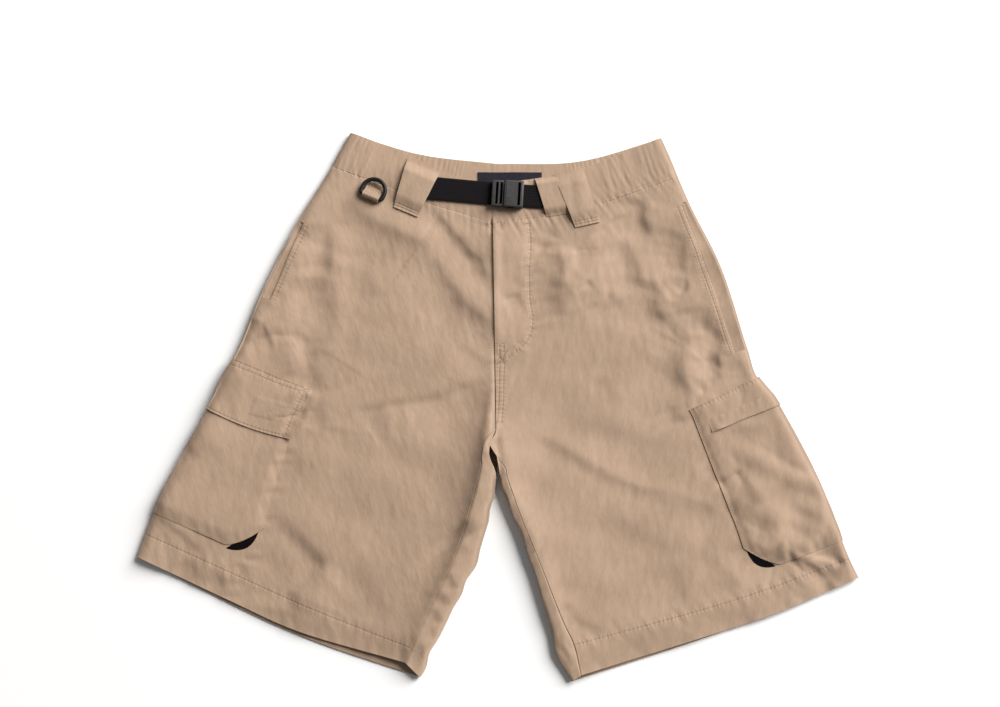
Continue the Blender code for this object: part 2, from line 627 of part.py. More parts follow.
def combine(base, others, operation):
    """Cuts or joins blocks and leaves one mesh."""
    for other in others:
        step = base.modifiers.new("combine", "BOOLEAN")
        step.operation = operation
        step.object = other
        step.solver = "EXACT"
    graph = bpy.context.evaluated_depsgraph_get()
    mesh = bpy.data.meshes.new_from_object(base.evaluated_get(graph))
    for other in others:
        bpy.data.objects.remove(other)
    base.modifiers.clear()
    base.data = mesh
    return base


SOCKET = (22.0, 31.0, 8.4)     # length, width, height
PLUG_FRAME = (13.0, 30.0, 4.6)
BUCKLE_FLOOR = 6.5


def buckle():
    """Side-release buckle, fastened. Lengths run along X from the seam between its halves."""
    place = Matrix.Translation((BUCKLE_AT[0] * MM, BUCKLE_AT[1] * MM, 0))
    place = place @ Matrix.Rotation(BUCKLE_TURN, 4, "Z")
    low, (length, width, high) = BUCKLE_FLOOR, SOCKET
    socket = block(SOCKET, (length / 2 + 0.2, 0, low + high / 2), 1.4)
    cavity = block((16, 24.6, 4.6), (7.2, 0, low + 4.3))
    slot = block((3.2, 26.6, 12), (17.2, 0, low + 4))
    recess = block((8, 26.6, 6), (19.8, 0, WEB_TOP - 3))
    windows = [block((7, 8, 4.2), (8.4, s * width / 2, low + 4.3)) for s in (-1, 1)]
    combine(socket, [cavity, slot, recess] + windows, "DIFFERENCE")

    bottom = WEB_TOP + 0.1
    depth, span, thick = PLUG_FRAME
    plug = block(PLUG_FRAME, (-depth / 2 - 0.3, 0, bottom + thick / 2), 1.0)
    slots = [block((2.6, 25.4, 12), (x, 0, bottom + 2)) for x in (-8.6, -3.4)]
    combine(plug, slots, "DIFFERENCE")
    prongs = [block((13.5, 3.0, 3.4), (5.2, s * 9.8, low + 4.3)) for s in (-1, 1)]
    prongs += [block((5.4, 3.4, 3.4), (8.3, s * 12.6, low + 4.3)) for s in (-1, 1)]
    prongs.append(block((12, 4.0, 3.0), (4.8, 0, low + 4.3)))
    combine(plug, prongs, "UNION")
    for name, thing in (("buckle_socket", socket), ("buckle_plug", plug)):
        thing.name = thing.data.name = name
        thing.matrix_world = place
        finish(thing, DARK_PLASTIC, 0.45)


# D-ring: its straight bar turns in the fold of a cloth tab
ROD = 4.6
RING_HALF = 13.0       # from the middle to the rod's middle at the sides
RING_STRAIGHT = 7.6    # straight part of its sides
RING_CORNER = 3.4
BAR_AT = (-142.3, 225.8)
RING_TURN = atan2(-8, 19)
RUNNING = 0.35         # play of the bar in the tab
TAB_WIDTH = 19.4
TAB_TAIL = 11.5
BAR_LEVEL = 10.1


def ring_line():
    """The D's middle line: bar, rounded corner, side, half circle, side, corner."""
    line = [(x, 0) for x in np.linspace(-RING_HALF + RING_CORNER, RING_HALF - RING_CORNER, 5)]
    for a in np.linspace(-90, 0, 4)[1:]:
        line.append((RING_HALF - RING_CORNER + RING_CORNER * cos(radians(a)),
                     RING_CORNER + RING_CORNER * sin(radians(a))))
    for a in np.linspace(0, 180, 13):
        line.append((RING_HALF * cos(radians(a)), RING_STRAIGHT + RING_HALF * sin(radians(a))))
    for a in np.linspace(180, 270, 4)[:-1]:
        line.append((-RING_HALF + RING_CORNER + RING_CORNER * cos(radians(a)),
                     RING_CORNER + RING_CORNER * sin(radians(a))))
    return np.array(line)


def d_ring():
    """A round rod carried along the D, with its origin on the bar's axis."""
    line = ring_line()
    tangent = unit(np.roll(line, -1, 0) - np.roll(line, 1, 0))
    out = np.column_stack([tangent[:, 1], -tangent[:, 0]])
    sides = 10
    points = []
    for s in range(sides):
        a = 2 * pi * s / sides
        xy = line + out * cos(a) * ROD / 2
        points.append(np.column_stack([xy, np.full(len(xy), sin(a) * ROD / 2)]))
    points = np.concatenate(points)
    n = len(line)
    faces = []
    for s in range(sides):
        t = (s + 1) % sides
        for k in range(n):
            m = (k + 1) % n
            faces.append((s * n + k, s * n + m, t * n + m, t * n + k))
    ring = add_mesh("d_ring", points, faces, BLACK_METAL, 0.4)
    ring.location = (BAR_AT[0] * MM, BAR_AT[1] * MM, BAR_LEVEL * MM)
    ring.rotation_euler = (0, 0, RING_TURN)


def d_ring_tab():
    """Cloth folded round the bar: a tunnel with a flat tail. Its section, across the bar, is
    carried along the bar."""
    hole = ROD / 2 + RUNNING
    outer = hole + CLOTH
    steps = 16
    turns = [2 * pi * k / steps for k in range(steps)]
    section = [(outer * cos(a), outer * sin(a)) for a in turns]
    section[-3:] = [(1.5, -outer), (4.4, -outer), (TAB_TAIL, -outer)]
    section[:2] = [(TAB_TAIL, 2 * CLOTH - outer), (4.0, 0.4)]
    section += [(hole * cos(a), hole * sin(a)) for a in turns]
    points = [(x, y, z) for x in (-TAB_WIDTH / 2, TAB_WIDTH / 2) for y, z in section]
    faces = []
    far = len(section)
    for k in range(steps):
        m = (k + 1) % steps
        o0, o1, i0, i1 = k, m, steps + k, steps + m
        faces.append((o0, o1, o1 + far, o0 + far))
        faces.append((i1, i0, i0 + far, i1 + far))
        faces.append((o1, o0, i0, i1))
        faces.append((o0 + far, o1 + far, i1 + far, i0 + far))
    tab = add_mesh("d_ring_tab", points, faces, TAUPE_DARK)
    tab.location = (BAR_AT[0] * MM, BAR_AT[1] * MM, BAR_LEVEL * MM)
    tab.rotation_euler = (0, 0, RING_TURN)


def fold_lines(table_right, table_left):
    """The four folds of the garment's sides as lines, which upper_level measures from."""
    lines = {}
    for who, table in (("right", table_right), ("left", table_left)):
        outer = np.array([row[2] for row in table], float)
        low = [row[0] for row in table].index("notch")
        rise = [(FLY_FOOT, 40.0), (FLY_FOOT, -33.0)]
        edge = np.array(rise + [row[6] for row in table[low:]], float)
        for name, line in ((who + " outer", outer), (who + " inner", edge)):
            knots = np.arange(len(line))
            fine = np.linspace(0, len(line) - 1, 3 * len(line) - 2)
            lines[name] = smooth(knots, line, fine)
    return lines


for old in list(bpy.data.objects):
    bpy.data.objects.remove(old)

FOLD_LINES = fold_lines(RIGHT_SECTIONS, LEFT_SECTIONS)
right_half = Half(-1, RIGHT_SECTIONS)
left_half = Half(1, LEFT_SECTIONS)
panels(right_half, "right")
panels(left_half, "left")
waistband_back(right_half, left_half)

guide_r, guide_l = right_half.mark["guide"], left_half.mark["guide"]
overlay("cargo_pocket_right", right_half, "flap top", "pocket bottom", -1, guide_r, POCKET_LIFT,
        gusset="drain_gusset_right")
overlay("cargo_flap_right", right_half, "flap top", "flap bottom", 0, guide_r, FLAP_LIFT)
overlay("cargo_pocket_left", left_half, "pocket top", "pocket bottom", -1, guide_l, POCKET_LIFT,
        gusset="drain_gusset_left")
overlay("cargo_placket_left", left_half, "welt top", "welt bottom", 0, guide_l - 1, FLAP_LIFT)
belt()
d_ring_tab()
d_ring()
patch("back_label", ((-23, 256), (49, 256), (49, 236), (-23, 236)), 4, 2, 0, 0.8, LABEL_DARK,
      profile=lambda z, xy, v: np.full_like(z, FLOOR_LEVEL + HALF + BAND_EXTRA + 0.7))
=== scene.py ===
# Cargo shorts laid flat on a pale table, front side up.
from math import atan2, cos, pi, radians, sin
import bpy
import numpy as np
from mathutils import Matrix, Vector


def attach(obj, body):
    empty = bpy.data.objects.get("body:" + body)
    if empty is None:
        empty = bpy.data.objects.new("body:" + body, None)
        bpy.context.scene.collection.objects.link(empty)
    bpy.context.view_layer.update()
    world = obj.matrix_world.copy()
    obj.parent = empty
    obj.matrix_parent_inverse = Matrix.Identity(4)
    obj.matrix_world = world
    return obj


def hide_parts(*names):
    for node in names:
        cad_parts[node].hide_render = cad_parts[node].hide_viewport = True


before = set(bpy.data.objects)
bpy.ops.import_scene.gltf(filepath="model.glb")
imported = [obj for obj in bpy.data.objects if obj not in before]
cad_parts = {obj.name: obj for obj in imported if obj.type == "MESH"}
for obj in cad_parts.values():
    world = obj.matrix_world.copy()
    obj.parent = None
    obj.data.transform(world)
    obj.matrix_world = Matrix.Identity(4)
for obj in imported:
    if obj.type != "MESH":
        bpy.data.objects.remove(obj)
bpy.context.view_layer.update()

# All lengths below are millimetres until a mesh is made from them.
mm = 0.001

fabric = {
    "half": 0.6,            # half of one layer's wall
    "hemExtra": 0.5,        # a turned hem is thicker towards the inside
    "bandExtra": 0.8,       # and so is the waistband
    "floorLevel": 0.6,
    "topLevel": 3.4,        # middle of the upper layer at the waistband's foot
    "thighRaise": 2.2,      # it lies looser over the thighs
    "bandRise": 1.4,
    "lowest": 2.55,         # the upper layer sinks no lower than this
    "edgeRadius": 5.0,
    "outlineInset": 1.4,
    "flyLip": 0.7,
    "flyEdge": 1.7,         # and its folded edge stands off
    "flyWidth": 40.0,
    "flyEnd": 52.0,
    "tuck": 1.45,           # how far a layer drops to pass under its neighbour
    "grainTurn": radians(15),   # the cloth's grain runs along each leg
    "rowStep": 2.0,
}

# Sections across one half of the shorts from waist to hem: the side fold, the line of the belt
# loop and the cargo pocket's front edge, a point between, the fly or inseam, the fold inside
# the leg, the back rise, a point of the back, and how deep the hand pocket's mouth lies.
sectionColumns = ("outer", "guide", "middle", "inner", "edge", "seat", "back")
rightSections = (
    ("band top", (-168, 302), (-102, 276), (-64, 256), (-6, 241), (-6, 241), (-.3, 266), (-88, 277), 8),
    ("waist seam", (-188, 262), (-111, 234), (-82, 221), (-6, 196), (-6, 196), (-.3, 228), (-98, 238), 8),
    ("slash top", (-224, 198), (-141, 171), (-98, 157), (-5, 128), (-5, 128), (-.3, 152), (-110, 160), 8),
    ("slash end", (-264, 112), (-183, 84), (-113, 66), (-3, 31), (-3, 31), (-.3, 45), (-130, 70), 13),
    ("crotch seam", (-285, 55), (-199, 24), (-128, 1), (-2, -33), (-2, -33), (-.3, -20), (-140, 8), 8),
    ("flap top", (-291, 42), (-204, 8), (-132, -14), (-13, -47), (-9, -54), (-.3, -40), (-145, -8), 8),
    ("notch", (-306, 9), (-218, -23), (-143, -48), (-20, -82), (-2.4, -88), (-2.4, -88), (-150, -42), 8),
    ("flap bottom", (-316, -13), (-226, -46), (-150, -72), (-27, -109), (-7, -115), (-7, -115), (-160, -66), 8),
    ("pocket middle", (-345, -68), (-241, -98), (-163, -122), (-46, -170), (-24, -178), (-24, -178), (-180, -125),
     8),
    ("pocket bottom", (-371, -125), (-262, -172), (-186, -200), (-75, -232), (-54, -238), (-54, -238), (-205, -193),
     8),
    ("hem stitch", (-379, -148), (-276, -194), (-200, -227), (-92, -268), (-71, -272), (-71, -272), (-222, -226), 8),
    ("hem", (-387, -172), (-285, -219), (-208, -252), (-98, -283), (-83, -298), (-83, -298), (-225, -249), 8),
)
leftSections = (
    ("band top", (185, 296), (98, 261), (53, 250), (-6, 241), (-6, 241), (.3, 266), (92, 269), 8),
    ("waist seam", (203, 250), (109, 217), (78, 208), (-6, 196), (-6, 196), (.3, 228), (101, 234), 8),
    ("slash top", (214, 222), (116, 191), (84, 181), (-5, 160), (-5, 160), (.3, 190), (105, 205), 8),
    ("slash middle", (247, 150), (155, 123), (109, 110), (-4, 74), (-4, 74), (.3, 95), (125, 115), 16),
    ("slash end", (275, 54), (192, 28), (134, 8), (-2, -33), (-2, -33), (.3, -15), (140, 20), 14),
    ("pocket top", (285, 22), (208, -14), (150, -36), (-1, -66), (-1.2, -68), (.3, -50), (150, -18), 8),
    ("notch", (291, 14), (212, -22), (153, -45), (8, -77), (2.4, -88), (2.4, -88), (155, -40), 8),
    ("welt top", (299, 4), (215, -30), (158, -55), (10, -87), (4, -98), (4, -98), (158, -50), 8),
    ("welt bottom", (306, -9), (220, -44), (162, -70), (15, -102), (9, -109), (9, -109), (164, -64), 8),
    ("pocket middle", (348, -95), (252, -131), (190, -155), (49, -189), (41, -193), (41, -193), (200, -150), 8),
    ("pocket bottom", (370, -155), (276, -190), (205, -216), (72, -246), (57, -250), (57, -250), (220, -203), 8),
    ("hem stitch", (377, -174), (290, -206), (212, -230), (81, -265), (62, -272), (62, -272), (225, -227), 8),
    ("hem", (386, -194), (298, -231), (217, -257), (88, -296), (78, -302), (78, -302), (235, -252), 8),
)

tables = {"right": rightSections, "left": leftSections}
sides = {"right": -1, "left": 1}     # which way each half lies from the middle

# Creases of the upper layer: half width, steepness, and the points that the crease's flank runs
# through. The flank climbs towards the upper right where the steepness is below zero, and sinks
# that way above it; beyond it the cloth eases back over a wider way. A line that points at the
# key light is a trough instead.
creases = (
    # broad swells
    (12, 0.7, (-166, 236), (-110, 212), (-65, 175)),
    (12, 0.1, (-65, 175), (-30, 148), (-6, 108)),
    (13, 0.1, (-236, 110), (-214, 20)),
    (13, 1.4, (122, 172), (150, 110)),
    (12, 1.2, (244, 70), (205, 8)),
    (13, 0.1, (75, 180), (83, 130), (80, 80)),
    (13, 2.3, (330, -82), (290, -150)),
    # right thigh
    (6.5, -2.2, (-179, 223), (-154, 207), (-132, 194), (-107, 181), (-87, 172), (-72, 158)),
    (5.5, -2.3, (-78, 165), (-65, 145), (-53, 125), (-40, 108), (-26, 94), (-11, 83), (-2, 68)),
    (8, 0.5, (-76, 197), (-57, 179), (-40, 154), (-27, 131), (-11, 108)),
    (3.5, -2.9, (-82, 212), (-67, 207), (-57, 195), (-45, 179), (-31, 163), (-20, 152), (-16, 137), (-13, 120)),
    (6, -3.4, (-187, 195), (-187, 177), (-188, 156), (-186, 135)),
    (9.5, -1.4, (-203, 142), (-195, 122), (-185, 103), (-181, 86), (-188, 68), (-199, 57), (-206, 39)),
    (6, -1.5, (-204, 39), (-199, 26), (-196, 6)),
    (8, 0.7, (-171, 188), (-171, 142), (-168, 97), (-171, 52), (-173, 8)),
    (6, 2.5, (-215, 69), (-216, 47), (-212, 23)),
    (2, -2.2, (-222, 197), (-217, 189), (-208, 178)),
    (3, -2.4, (-281, 58), (-264, 65), (-245, 70), (-227, 67)),
    (2.5, -1.2, (-256, 106), (-250, 102), (-243, 94)),
    (4, -3.1, (-268, 88), (-265, 81), (-258, 84)),
    (5.5, -1.8, (-1, 26), (-20, 15), (-42, 8), (-63, -1), (-85, -5), (-107, -7), (-129, -12), (-150, -16),
     (-163, -32)),
    (7, 0.3, (-9, 6), (-42, -9), (-85, -18), (-129, -25)),
    (4, -1.3, (-46, 62), (-31, 51), (-14, 40), (-2, 27)),
    (2.5, -0.9, (-23, 76), (-12, 62), (-2, 50)),
    (5, -1.7, (-235, 120), (-236, 97), (-233, 80)),
    (4.5, -1.0, (-153, 145), (-140, 125), (-131, 111)),
    # left thigh
    (2.5, -2.4, (57, 200), (60, 188), (64, 180), (54, 173), (48, 162), (36, 149)),
    (2.5, -2.4, (102, 180), (113, 187), (122, 194), (129, 199), (147, 206)),
    (4.5, -4.0, (164, 224), (162, 213), (162, 203), (166, 191), (173, 179)),
    (7, -2.2, (139, 181), (143, 171), (149, 159), (152, 148), (155, 133), (160, 119)),
    (5, -2.4, (181, 127), (178, 117), (174, 108), (176, 98), (179, 88), (183, 79)),
    (5.5, -2.3, (212, 183), (208, 172), (205, 159), (205, 147), (207, 135)),
    (3, -2.4, (210, 132), (206, 121), (199, 112), (188, 105)),
    (5, -1.7, (229, 105), (232, 92), (234, 80), (234, 68)),
    (3.5, -4.2, (252, 64), (244, 57), (239, 48), (240, 37), (244, 25)),
    (3, -2.4, (245, 25), (237, 18), (227, 10), (218, 2)),
    (6, -2.7, (214, 65), (205, 57), (199, 47), (198, 33), (200, 18), (203, 1)),
    (2.5, -2.4, (83, 119), (94, 123), (104, 130)),
    (5.5, -2.5, (69, 174), (64, 160), (71, 149), (65, 131), (60, 118)),
    (6.5, -0.3, (60, 120), (54, 112), (58, 103)),
    (5.5, -1.6, (62, 118), (68, 104), (73, 88)),
    (4.5, -1.5, (263, 52), (267, 38), (274, 23), (270, 12), (273, 0)),
    (4, -1.1, (94, 95), (110, 102), (128, 119)),
    (5, -1.1, (115, 28), (123, 10), (133, -11)),
    (4, -2.0, (190, -7), (195, -17), (201, -29)),
    (2, -2.4, (6, 197), (3, 192), (-2, 187)),
    (2.5, -0.3, (-1, 145), (5, 148), (14, 152)),
    (3, -2.4, (5, 108), (13, 111), (24, 116)),
    (7, 2.3, (83, 170), (82, 145), (79, 120)),
    # right leg
    (1, -4.2, (-204, 2), (-211, -16), (-218, -33), (-224, -44)),
    (2.5, -2.1, (-371, -123), (-356, -136), (-341, -146), (-330, -155), (-321, -165), (-312, -178)),
    (2.5, -1.5, (-358, -143), (-351, -156), (-343, -168)),
    (2.5, -1.7, (-336, -55), (-327, -60), (-320, -68)),
    (3.5, -1.8, (-298, -188), (-293, -203), (-290, -218)),
    (3, -2.1, (-272, -176), (-269, -188), (-265, -200)),
    (5, -1.1, (-330, -172), (-325, -184), (-320, -197)),
    (4, -0.6, (-224, -56), (-218, -69), (-210, -86)),
    (9.5, -2.4, (-184, -172), (-203, -191), (-220, -209), (-223, -230)),
    (9, -1.5, (-199, -1), (-192, -14), (-196, -36)),
    # left leg
    (4.5, -2.2, (32, -34), (51, -47), (69, -57), (89, -69), (110, -82), (132, -92), (153, -101), (174, -105),
     (200, -110)),
    (5.5, -1.4, (196, -109), (217, -117), (239, -125), (253, -135)),
    (9, 0.1, (45, -31), (78, -47), (110, -66), (143, -79), (180, -90)),
    (9, -0.7, (118, -112), (130, -133), (147, -146), (165, -153), (182, -161), (201, -165), (218, -170)),
    (7.5, -1.1, (216, -172), (233, -178), (247, -193), (258, -209)),
    (7, -0.6, (106, -23), (127, -39), (149, -47), (167, -48), (184, -53)),
    (3.5, -0.2, (267, -25), (257, -39), (245, -50), (231, -64)),
    (11, -1.3, (303, -25), (308, -47), (316, -69), (323, -88)),
    (7, 1.2, (294, -21), (293, -47), (298, -74)),
    (3.5, -2.3, (264, -79), (250, -88), (236, -96)),
    (7.5, -2.0, (259, -92), (274, -105), (284, -120)),
    (10.5, -1.1, (349, -99), (339, -120), (328, -142), (323, -160)),
    (5, 2.5, (357, -117), (343, -144), (329, -172)),
    (3, -0.4, (355, -153), (349, -162), (342, -173)),
    (6.5, -3.7, (356, -150), (363, -164), (365, -178), (360, -192), (352, -206), (346, -214)),
    (5, 2.5, (358, -172), (357, -182), (348, -195)),
    (4.5, -3.0, (298, -158), (305, -168), (313, -163)),
    (2.5, -1.6, (65, -218), (77, -227), (87, -239), (102, -246), (114, -252)),
    (9, -0.8, (182, -176), (194, -197), (204, -222)),
    (6.5, -0.3, (241, -182), (251, -201), (255, -218)),
    (3, -0.7, (263, -163), (254, -166), (247, -168)),
    (3, -0.2, (291, -176), (299, -182), (312, -176)),
    # inner strip
    (8.5, -2.5, (-36, -133), (-30, -141), (-25, -148)),
    (2.5, -0.9, (-42, -161), (-34, -165), (-27, -172)),
    (2.5, -2.4, (-52, -189), (-47, -198), (-43, -207)),
    (2.5, -2.4, (-62, -207), (-57, -216), (-52, -224)),
    (2.5, -3.3, (-69, -225), (-64, -234), (-60, -242)),
    (2.5, -1.8, (-75, -239), (-69, -248), (-65, -261)),
    (2.5, -1.2, (-89, -261), (-83, -265), (-76, -269)),
)

# How each side fold stands up along its length: the place, the height of the fold's middle, how far
# the crest beside it lies from the fold, how far that sinks beyond and its height.
sidePuffs = {
    "right outer": ((300, 3.4, 7, 30, 1.8), (250, 4.6, 7, 30, 2.4), (200, 6.8, 8, 30, 4.2), (0, 7.8, 9, 32, 4.8),
                    (-120, 6.6, 9, 30, 4.2), (-175, 5.0, 8, 26, 2.6)),
    "left outer": ((300, 3.1, 7, 30, 1.6), (0, 3.4, 8, 32, 2.4), (-195, 3.1, 8, 26, 2.2)),
    "right inner": ((30, 3.1, 4, 12, 0.0), (-14, 3.4, 6, 12, 4.2), (-36, 3.6, 8.5, 12, 8.0),
                    (-60, 4.4, 12.5, 13, 9.4), (-88, 4.8, 16.5, 16, 9.4), (-150, 5.0, 21, 17, 9.0),
                    (-210, 4.2, 21.5, 16, 8.0), (-298, 3.0, 17, 13, 4.2)),
    "left inner": ((30, 3.1, 3, 34, 0.0), (-36, 3.4, 3, 34, 3.2), (-66, 6.5, 6, 36, 5.0), (-88, 8.4, 7, 36, 5.6),
                   (-150, 10.0, 9, 38, 6.0), (-215, 9.0, 9, 34, 5.0), (-302, 5.0, 9, 26, 2.8)),
}


def foldMeasure(name, y, which):
    # one measure of a side fold at the places y: stand, crest, fall or height
    places = np.array(sidePuffs[name][::-1], float)
    return np.interp(y, places[:, 0], places[:, 1 + ("stand", "crest", "fall", "height").index(which)])


def unit(v):
    return v / np.maximum(np.linalg.norm(v, axis=-1, keepdims=True), 1e-9)


def softStep(x):
    x = np.clip(x, 0, 1)
    return x * x * (3 - 2 * x)


def bell(x, width):
    return np.exp(-(x / width) ** 2)


def wayAlong(line):
    # how far along a line of points each of them lies
    return np.concatenate([[0], np.cumsum(np.linalg.norm(np.diff(line, axis=0), axis=1))])


def readAlong(line, knots, at):
    # the line's points at other places along it
    return np.stack([np.interp(at, knots, values) for values in line.T], axis=-1)


def upward(grid):
    return np.broadcast_to([0.0, 0.0, 1.0], grid.shape)


def smoothCurve(knots, values, at):
    # cubic through the knots, with each slope taken from the two neighbours
    knots, values, at = np.asarray(knots, float), np.asarray(values, float), np.asarray(at, float)
    step = np.diff(knots)[:, None]
    rise = np.diff(values, axis=0) / step
    slope = np.vstack([rise[:1], rise[:1].repeat(len(knots) - 2, 0), rise[-1:]])
    slope[1:-1] = (rise[:-1] * step[1:] + rise[1:] * step[:-1]) / (step[1:] + step[:-1])
    i = np.clip(np.searchsorted(knots, at, side="right") - 1, 0, len(knots) - 2)
    h = (knots[i + 1] - knots[i])[:, None]
    f = (at - knots[i])[:, None] / h
    start = values[i] * (1 + 2 * f) * (1 - f) ** 2 + slope[i] * h * f * (1 - f) ** 2
    return start + values[i + 1] * f * f * (3 - 2 * f) - slope[i + 1] * h * f * f * (1 - f)


def alongRow(points, q):
    # the point q of the way through each row's control points
    points = np.stack(points)
    rise = np.diff(points, axis=0)
    slope = np.concatenate([rise[:1], (rise[:-1] + rise[1:]) / 2, rise[-1:]])
    i = np.clip(np.floor(q).astype(int), 0, len(points) - 2)
    row = np.arange(points.shape[1])
    f = (q - i)[:, None]
    a, b, sa, sb = points[i, row], points[i + 1, row], slope[i, row], slope[i + 1, row]
    return (a * (1 + 2 * f) * (1 - f) ** 2 + sa * f * (1 - f) ** 2
            + b * f * f * (3 - 2 * f) - sb * f * f * (1 - f))


def nearLine(line, x, y):
    # distance to a line of points, how far along it the nearest place is, and the side
    line = np.asarray(line, float)
    a, ab = line[:-1], np.diff(line, axis=0)
    size = np.maximum(np.hypot(*ab.T), 1e-9)
    start = np.concatenate([[0], np.cumsum(size)[:-1]])
    px, py = x[..., None] - a[:, 0], y[..., None] - a[:, 1]
    f = np.clip((px * ab[:, 0] + py * ab[:, 1]) / size ** 2, 0, 1)
    gap = np.hypot(px - f * ab[:, 0], py - f * ab[:, 1])
    nearest = gap.argmin(-1)[..., None]
    along = np.take_along_axis(start + f * size, nearest, -1)[..., 0]
    side = np.take_along_axis(ab[:, 0] * py - ab[:, 1] * px, nearest, -1)[..., 0]
    return np.take_along_axis(gap, nearest, -1)[..., 0], along, np.sign(side)


def wave(t, pitch, seed):
    # uneven ripples between about -1 and 1: three sines whose pitches do not divide
    return (np.sin(2 * pi * t / pitch + seed) + 0.6 * np.sin(2 * pi * t / pitch / 1.63 + 2.1 * seed)
            + 0.45 * np.sin(2 * pi * t / pitch / 0.71 + 3.7 * seed)) / 1.6


def flyX(y):
    # the front's middle, which bends to one side where the four seams meet
    return -6 + 4 * np.clip((208 - y) / 241, 0, 1) - 7 * bell(y + 52, 9)


def sectionRows(table, side):
    outer = np.array([row[1] for row in table], float)
    knots = wayAlong(outer)
    at, rowOf = [], {}
    for k, row in enumerate(table):
        rowOf[row[0]] = len(at)
        at.append(knots[k])
        if k + 1 < len(table):
            count = max(2, int(round((knots[k + 1] - knots[k]) / fabric["rowStep"])))
            at += list(np.linspace(knots[k], knots[k + 1], count + 1)[1:-1])
    rows = {name: smoothCurve(knots, [row[c] for row in table], at)
            for c, name in enumerate(sectionColumns, 1)}
    rows["slash"] = smoothCurve(knots, [[row[-1]] for row in table], at)[:, 0]
    crotch = rowOf["crotch seam"] if side < 0 else rowOf["pocket top"] - 2
    upper = np.arange(len(at)) <= crotch
    rows["inner"][upper, 0] = flyX(rows["inner"][upper, 1])
    rows["edge"][upper] = rows["inner"][upper]
    rows["rolled"] = softStep((np.arange(len(at)) - rowOf["notch"] + 1) / 2.0)
    for name in ("inner", "edge"):
        x, y = rows[name].T
        rows[name][:, 0] = side * np.maximum(side * x, side * flyX(y))
    rows["seat"][:, 0] = side * np.maximum(side * rows["seat"][:, 0], 0.3)
    y = rows["edge"][:, 1]
    uneven = (1.5 if side < 0 else 0.7) * wave(y, 37 if side < 0 else 52, 0.4) * softStep((-95 - y) / 20)
    rows["edge"][:, 0] += uneven
    rows["seat"][:, 0] += uneven
    return rows, rowOf


def evenCurve(line, count):
    return smoothCurve(np.arange(len(line)), line, np.linspace(0, len(line) - 1, count))


def rowAt(table, name):
    return [row[0] for row in table].index(name)


def foldLines():
    # the plan of the side folds
    lines = {}
    for who, table in tables.items():
        edge = [(-2.0, 40.0), (-2.0, -33.0)] + [row[5] for row in table[rowAt(table, "notch"):]]
        for name, line in (("outer", [row[1] for row in table]), ("inner", edge)):
            lines[who + " " + name] = evenCurve(line, 3 * len(line) - 2)
    return lines


sideFolds = foldLines()


def column(table, name, first=None, last=None):
    # one column of a table as a smooth line between two sections
    fine = evenCurve([row[1 + sectionColumns.index(name)] for row in table], 8 * len(table) - 7)
    start = 8 * rowAt(table, first) if first else 0
    return fine[start:8 * rowAt(table, last) + 1 if last else None]


def section(table, name):
    # one section of a table as a smooth line from the side fold to the inside of the leg
    row = np.array(table[rowAt(table, name)][1:6], float)
    row = row[np.append(True, np.hypot(*np.diff(row, axis=0).T) > 1)]
    return evenCurve(row, 12 * len(row))


jStitch = np.array([(34, 197), (36, 176), (35.5, 160), (34, 145), (34.5, 110), (38, 90), (37, 74), (30, 60),
                    (20, 51), (10, 44), (-2, 42)], float)

# Sewn lines that pucker the cloth beside them: the line, and the ripples' pitch, rise and reach.
seams = (
    (section(rightSections, "waist seam"), 9, 0.6, 13),
    (section(leftSections, "waist seam"), 8, 0.75, 14),
    (section(rightSections, "hem stitch"), 11, 0.3, 10),
    (section(leftSections, "hem stitch"), 13, 0.28, 10),
    (section(rightSections, "hem"), 19, 0.25, 12),
    (section(leftSections, "hem"), 23, 0.22, 12),
    (column(rightSections, "inner", "crotch seam"), 17, 0.1, 9),
    (column(leftSections, "inner", "slash end"), 13, 0.3, 9),
    (jStitch, 10, 0.4, 7),
    (np.array([(-2, 60), (-2, 30), (-2, 0), (-2, -34)], float), 11, 0.35, 8),
    (column(rightSections, "guide", "flap top"), 15, 0.35, 9),
    (column(leftSections, "guide", "pocket top"), 15, 0.35, 9),
)
hemLines = [section(table, "hem") for table in tables.values()]


def grain(x, y):
    # soft unevenness of a light crinkled cloth: sines in seeded directions, long ones taller
    seeded = np.random.default_rng(5)
    total = np.zeros_like(x)
    for pitch, rise, count in ((95, 0.3, 6), (40, 0.07, 7), (12, 0.02, 9)):
        for _ in range(count):
            turn = seeded.uniform(-0.5, 0.5) if pitch < 40 else seeded.uniform(0, pi)
            length = pitch * seeded.uniform(0.75, 1.3)
            phase = seeded.uniform(0, 2 * pi)
            total += rise * np.sin(2 * pi * (x * cos(turn) + y * sin(turn)) / length + phase)
    return total


def puffHeight(x, y):
    # how far the folds along the legs' sides raise the upper layer
    share = softStep((x - flyX(y) + 5) / 10)
    outer, inner = np.zeros_like(x), np.zeros_like(x)
    for name in sidePuffs:
        away = nearLine(sideFolds[name], x, y)[0] - fabric["outlineInset"]
        crest, fall, height = (foldMeasure(name, y, which) for which in ("crest", "fall", "height"))
        if name.endswith("outer"):
            width = np.where(away < crest, np.maximum(crest, 9), fall)
            outer = np.maximum(outer, height * bell(away - crest, width))
        else:
            beyond = np.sqrt(np.maximum(away - crest, 0) ** 2 + 1.2) - 1.1
            bulge = height * np.exp(-(np.minimum(away - crest, 0) / (1.8 * crest + 3)) ** 2)
            bulge = bulge * (0.55 * np.exp(-beyond / fall / 0.5) + 0.45 * np.exp(-beyond / fall / 1.5))
            inner = inner + bulge * (share if name.startswith("left") else 1 - share)
    return np.maximum(outer, inner)


